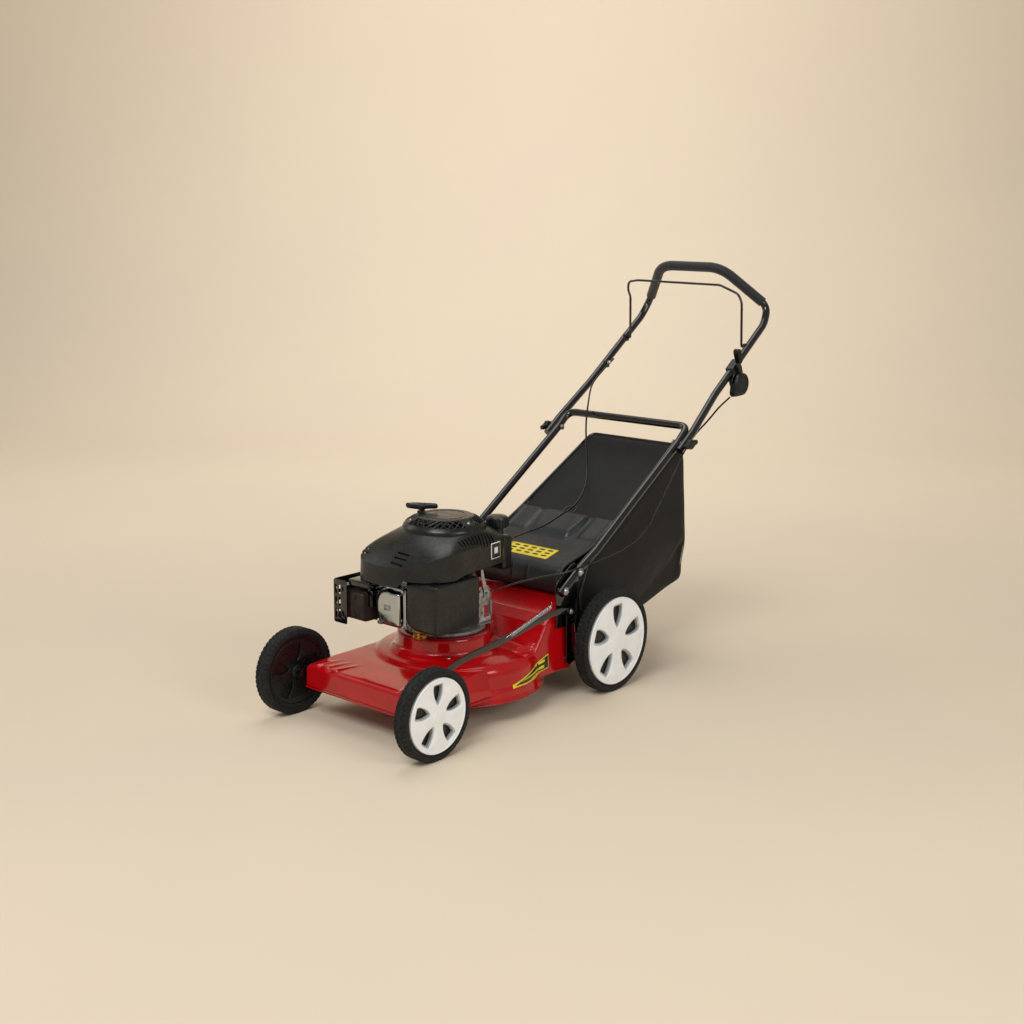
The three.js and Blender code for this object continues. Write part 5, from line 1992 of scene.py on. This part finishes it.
class MOWER_OT_intake(bpy.types.Operator):
    """Makes the carburettor, the air filter box and the control bracket with its levers"""

    bl_idname = "mower.intake"
    bl_label = "Carburettor and Air Filter"

    def execute(self, context):
        made = (
            rod((18.6, -120, 262), (59.6, -120, 262), 12.6, 36, 1.5)
            + box((24, -138, 244), (48, -104, 282), 3, 3)
        )
        piece("carburettor_body", engine(made), "aluminium", "chassis", ["carburettor"])
        bowl = (
            rod((52, -134, 200), (52, -134, 219.6), 15, 40, 4)
            + rod_stack((52, -134, 201), (0, 0, -1), [(4, 6), (2, 4)], 6)
        )
        bowl += (
            rod((52, -134, 219), (52, -134, 226), 17, 40, 1)
            + rod_stack((52, -149, 212), (0, -1, 0), [(4, 4), (4, 3)], 18)
        )
        piece("carburettor_bowl", engine(bowl), "brass", "chassis", sharp=50)
        low = [(60, 228), (130, 228), (130, 340), (36, 340), (36, 240)]
        case = slab(low, -165.6, -17.4, "y", (), 9, 5)
        case += slab(
            [(62, 230.5), (127.5, 230.5), (127.5, 337.5), (38.5, 337.5), (38.5, 241)], -166, -120, "y", (),
            11, 5
        )
        mesh = moulded("air_box", case, 2.2, 3)
        piece("air_filter_case", engine_mesh(mesh), "black_plastic", "chassis", ["air_filter_box"], sharp=60)
        line = slab(
            [(59, 227.4), (130.4, 227.4), (130.4, 340.4), (35.6, 340.4), (35.6, 239.6)], -118, -115.4, "y",
            (), 1.1
        )
        for x, z in ((50, 318), (50, 292)):
            line += rod((x, -166.6, z), (x, -160, z), 2.4, 18)
        piece("air_filter_trim", engine(line), "gloss_plastic", "chassis")
        window = [(28, 228), (44, 228), (44, 256), (28, 256)]
        plate = slab(
            [(4, 216), (52, 214), (52, 290), (40, 302), (4, 302)], 98.2, 99.8, "x",
            [window, circle(12, 292, 3, 16), circle(20, 240, 4, 16)], 0.5
        )
        plate += (
            box((99, 4, 214), (107, 52, 215.6), 0.5)
            + rod_stack((99.6, 12, 228), (1, 0, 0), [(2, 5), (3, 4)], 6)
        )
        spring = {"Turns": 22.0, "Radius": 2.4 * MM, "Length": 34 * MM, "Wire": 0.5 * MM}
        plate += grown_shape(grow("coil", spring)).moved(103.5, 47, 232)
        piece("control_bracket_plate", engine(plate), "zinc", "chassis", ["control_bracket"])
        refinish("throttle_arm", "zinc")
        refinish("brake_arm", "zinc")
        return {"FINISHED"}


def refinish(name, finish):
    """Gives a frame node that keeps its own shape a finished material."""
    thing = bpy.data.objects[name] if name in bpy.data.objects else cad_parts[name]
    if not thing.material_slots:
        thing.data.materials.append(material(finish))
    for held in thing.material_slots:
        held.material = material(finish)


SHROUD_RING = [
    (44, -179, 374), (120, -115, 404), (114, 0, 408), (84, 112, 410), (-75, 112, 409), (-112, 60, 408),
    (-116, -110, 402), (-92, -179, 374)
]


PULL_PLACE = (-62, -12)  # where the rope leaves the starter, from the crankshaft's axis


class MOWER_OT_starter(bpy.types.Operator):
    """Makes the blower shroud with its louvres, the starter dome with its vents, and the pull handle"""

    bl_idname = "mower.starter"
    bl_label = "Shroud and Starter"

    def execute(self, context):
        self.shroud()
        self.dome()
        self.pull()
        refinish("starter_pulley", "zinc")
        x, y = PULL_PLACE
        line = engine(rod((x, y, 441), (x, y, 470), 2.5, 16))
        rope = link("starter_rope_line", new_mesh("starter_rope", line))
        rope.data.materials.append(material("white"))
        shade(rope.data, 60)
        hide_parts("starter_rope")
        at(x, y + SHAFT_Y, 442)
        at(x, y + SHAFT_Y, 469)
        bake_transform(rope)
        return {"FINISHED"}

    def shroud(self):
        plan = closed_route(SHROUD_RING)
        rings = []
        for drop, share in ((0, 0), (0.5, 0), (1, 0), (1, 0.02)):
            ring_points = []
            for p in plan:
                left = smooth_step(p.x, 24, 44)
                chin = 25 * smooth_step(-p.y, 100, 138) * (1 - left)
                foot = 350 - chin - 7 * left * smooth_step(-p.y, 60, 100)
                z = foot + (p.z - 5 - foot) * drop if share == 0 else p.z - 1.5
                ring_points.append(Vector((p.x * (1 - 0.01 * drop), p.y * (1 - 0.01 * drop), z)))
            rings.append(ring_points)
        steps = 12
        for i in range(1, steps + 1):
            t = i / steps
            inward = 0.8 * t + 0.2 * (1 - math.cos(t * math.pi / 2))
            upward = 0.8 * t + 0.2 * math.sin(t * math.pi / 2)
            ring_points = []
            for p in plan:
                a = math.atan2(p.y, p.x)
                x, y = p.x * 0.975, p.y * 0.975
                ring_points.append(
                    Vector(
                        (
                            x + (98 * math.cos(a) - x) * inward, y + (98 * math.sin(a) - y) * inward,
                            p.z + 1 + (431.4 - p.z) * upward
                        )
                    )
                )
            rings.append(ring_points)
        n = len(plan)
        points = [p for ring_points in rings for p in ring_points]
        faces = [
            (r * n + k, r * n + (k + 1) % n, (r + 1) * n + (k + 1) % n, (r + 1) * n + k)
            for r in range(len(rings) - 1) for k in range(n)
        ]
        mesh = evaluated_mesh(thicken(link("shroud", new_mesh("shroud", Shape(points, faces))), SHROUD_WALL))
        # The liner is a dark rubber shell inside the shroud, behind its slots: painted shade where the inside
        # lies in shadow.
        in_share, flat_share, lift = 0.93, 0.75, 99  # a smaller, flatter copy that stays clear inside
        inner = Shape(
            [Vector((p.x * in_share, p.y * in_share, p.z * flat_share + lift)) for p in points], faces
        )
        piece("shroud_liner", engine(inner), "rubber", "chassis")
        slots = Shape()
        for k in range(3):
            slots += box((0, -176 + 11 * k, 372), (36, -170.5 + 11 * k, 425), 1.4, 2)
            slots += box((-126, -164 + 12 * k, 372), (-84, -158 + 12 * k, 392), 1.4, 2)
        slots += row(box((101, -2.2, 398), (116, 2.2, 428), 1), 11, (-0.6, 11, 0)).moved(0, -62, 0)
        slots += row(box((-120, -2.6, 398), (-100, 2.6, 430), 1), 8, (0, 14, 0)).moved(0, -70, 0)
        mesh = carved(mesh, slots)
        hood = piece(
            "shroud_moulding", engine_mesh(mesh), "black_plastic", "chassis", ["blower_shroud"], sharp=40
        )
        skin = skin_of(hood.data)
        for name, inset, proud, finish in (
            ("shroud_label_edge", 0, 0.25, "label_white"), ("shroud_label_field", 2.4, 0.5, "label_black"),
            ("shroud_label_mark", 12, 0.75, "label_white")
        ):
            side = 38 - 2 * inset
            film = film_on(
                skin, (117 - 0.26 * inset, 0 + inset, 365 + inset), (-0.26, 0.966, 0), (0, 0, 1),
                (side, side), proud
            )
            thing = piece(name, film, finish, "chassis", sharp=60)
            thing.modifiers.new("Film", "SOLIDIFY").thickness = FILM * MM

    def dome(self):
        profile = [
            (98, 431), (98, 437), (96, 441), (90.5, 447.6), (88.6, 445.6), (93.5, 439.6), (94, 436),
            (94, 431), (98, 431)
        ]
        shell = revolve(profile, 88)
        profile = [
            (68, 460), (66, 461.2), (60, 461.8), (0.0, 462), (0.0, 460), (60, 459.4), (65.4, 458.8),
            (67, 457.2), (68, 460)
        ]
        shell += (
            revolve(profile, 88)
            + revolve([(52, 461.4), (52, 462.5), (50, 462.8), (48.5, 462.4), (48.5, 461.4), (52, 461.4)], 72)
        )
        shell += revolve([(93, 434), (64, 448), (62, 447), (91, 433), (93, 434)], 64)
        shell += rod((*PULL_PLACE, 446), (*PULL_PLACE, 464), 11, 36, 2)
        piece("starter_dome", engine(shell), "black_plastic", "chassis", ["recoil_housing"], sharp=40)
        count = look().vent_count
        bars = Shape()
        for lean in (-1, 1):
            swing = math.radians(16) * lean
            ends = [
                (90 * math.cos(-swing / 2), 90 * math.sin(-swing / 2), 446.6),
                (66.6 * math.cos(swing / 2), 66.6 * math.sin(swing / 2), 459)
            ]
            bars += ring(
                sweep([ends[0], (78.8, 0, 454.2), ends[1]], 1.5, 5), count, 0.0001, 0,
                0 if lean > 0 else 180 / count
            )
        piece("starter_dome_mesh", engine(bars), "black_plastic", "chassis", sharp=60)
        pads, screws = Shape(), Shape()
        for degrees in (-122, -4, 112):
            a = math.radians(degrees)
            c, s = math.cos(a), math.sin(a)
            wedge = [
                (r * c - w * s, r * s + w * c, z) for r, z in ((67, 460.5), (90, 449), (90, 444), (67, 450))
                for w in (-15, 15)
            ]
            pads += hull(wedge)
            screws += dome_bolt((81 * c, 81 * s, 453), (0.42 * c, 0.42 * s, 0.9), 3.4)
        piece("starter_dome_pads", engine(pads), "black_plastic", "chassis", ease=1.0)
        piece("starter_dome_screws", engine(screws), "zinc", "chassis")

    def pull(self):
        bar = hull(
            [
                (x + r * math.cos(a), y, z + r * math.sin(a))
                for x, y, z, r in ((-88, -34, 476, 6.6), (-70, -19, 475, 8.6), (-36, 10, 475, 6.6))
                for a in [i * math.pi / 8 for i in range(16)]
            ]
        )
        foot = rod((*PULL_PLACE, 464.6), (*PULL_PLACE, 473), 7.4, 28, 1)
        grip = moulded(
            "pull_grip", bar + foot + rod((*PULL_PLACE, 469), (*PULL_PLACE, 480), 9.5, 28, 3), 1.1, 6
        )
        piece(
            "starter_grip_handle", engine_mesh(grip), "black_plastic", "starter_grip", ["starter_handle"],
            sharp=60
        )
        knot = rod((*PULL_PLACE, 478), (*PULL_PLACE, 482), 3.2, 18, 1)
        piece("starter_grip_knot", engine(knot), "white", "starter_grip")


class MOWER_OT_fuel(bpy.types.Operator):
    """Makes the fuel tank, its ribbed cap and the oil dipstick"""

    bl_idname = "mower.fuel"
    bl_label = "Fuel and Oil"

    def execute(self, context):
        tank = (
            box((-75.4, 115, 318.6), (81.4, 149.6, 401.4), 9, 5)
            + rod((44, 134.5, 396), (44, 134.5, 416.6), 14.6, 40, 1)
        )
        mesh = moulded("fuel_tank", tank + box((-70, 113.6, 356), (76, 150.4, 360), 1.5), 2.0, 3)
        piece("fuel_tank_moulding", engine_mesh(mesh), "black_plastic", "chassis", ["fuel_tank"], sharp=60)
        body = revolve(
            [(0, 417.4), (25, 417.4), (26, 419), (26, 438), (24, 442.5), (19, 445), (0, 445.8)], 64
        )
        ribs = ring(box((-1.6, -1.7, -10), (1.9, 1.7, 9), 0.7), look().knurl_count, 26, 430)
        cap = body + ribs + box((-17, -3, 440), (17, 3, 446), 1.4)
        piece(
            "fuel_cap_moulding", engine(cap.moved(44, 134.5)), "black_plastic", "cap", ["fuel_cap"], sharp=35
        )
        top = (
            rod((-82, 30, 262.6), (-82, 30, 275.6), 13, 36, 2) + box((-97, 27.4, 268), (-67, 32.6, 276), 1.5)
        )
        piece(
            "dipstick_cap", engine(top + rod((-82, 30, 215), (-82, 30, 264), 2, 12)), "black_plastic",
            "oil_dipstick", ["dipstick"], sharp=40
        )
        return {"FINISHED"}


class MOWER_OT_inside(bpy.types.Operator):
    """Gives the rotor, the blade and its fixings their metals"""

    bl_idname = "mower.inside"
    bl_label = "Rotor and Blade"

    def execute(self, context):
        for name, finish in (
            ("flywheel", "aluminium"),
            ("crankshaft", "blade"),
            ("blade_adapter", "zinc"),
            ("blade", "blade"),
            ("blade_bolt", "zinc"),
        ):
            refinish(name, finish)
        return {"FINISHED"}


# ---- add-on ----

PIECES = (
    MOWER_OT_stage,
    MOWER_OT_cables,
    MOWER_OT_wheels,
    MOWER_OT_deck,
    MOWER_OT_height_gear,
    MOWER_OT_handles,
    MOWER_OT_controls,
    MOWER_OT_flap,
    MOWER_OT_bag,
    MOWER_OT_engine_block,
    MOWER_OT_exhaust,
    MOWER_OT_intake,
    MOWER_OT_starter,
    MOWER_OT_fuel,
    MOWER_OT_inside,
)


class MOWER_PT_sidebar(bpy.types.Panel):
    """Lists the mower's sizes and the buttons that make its pieces"""

    bl_idname = "MOWER_PT_sidebar"
    bl_label = "Lawn Mower"
    bl_space_type = "VIEW_3D"
    bl_region_type = "UI"
    bl_category = "Mower"

    def draw(self, context):
        for name in MowerSettings.__annotations__:
            self.layout.prop(context.scene.mower, name)
        for made in PIECES:
            self.layout.operator(made.bl_idname)


def register():
    for made in (MowerSettings, *PIECES, MOWER_PT_sidebar):
        bpy.utils.register_class(made)
    bpy.types.Scene.mower = PointerProperty(type=MowerSettings)


def unregister():
    del bpy.types.Scene.mower
    for made in reversed((MowerSettings, *PIECES, MOWER_PT_sidebar)):
        bpy.utils.unregister_class(made)


def main():
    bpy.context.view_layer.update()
    register()
    for made in PIECES:
        group, call = made.bl_idname.split(".")
        getattr(getattr(bpy.ops, group), call)()
    bpy.context.view_layer.update()


if __name__ == "__main__":
    main()
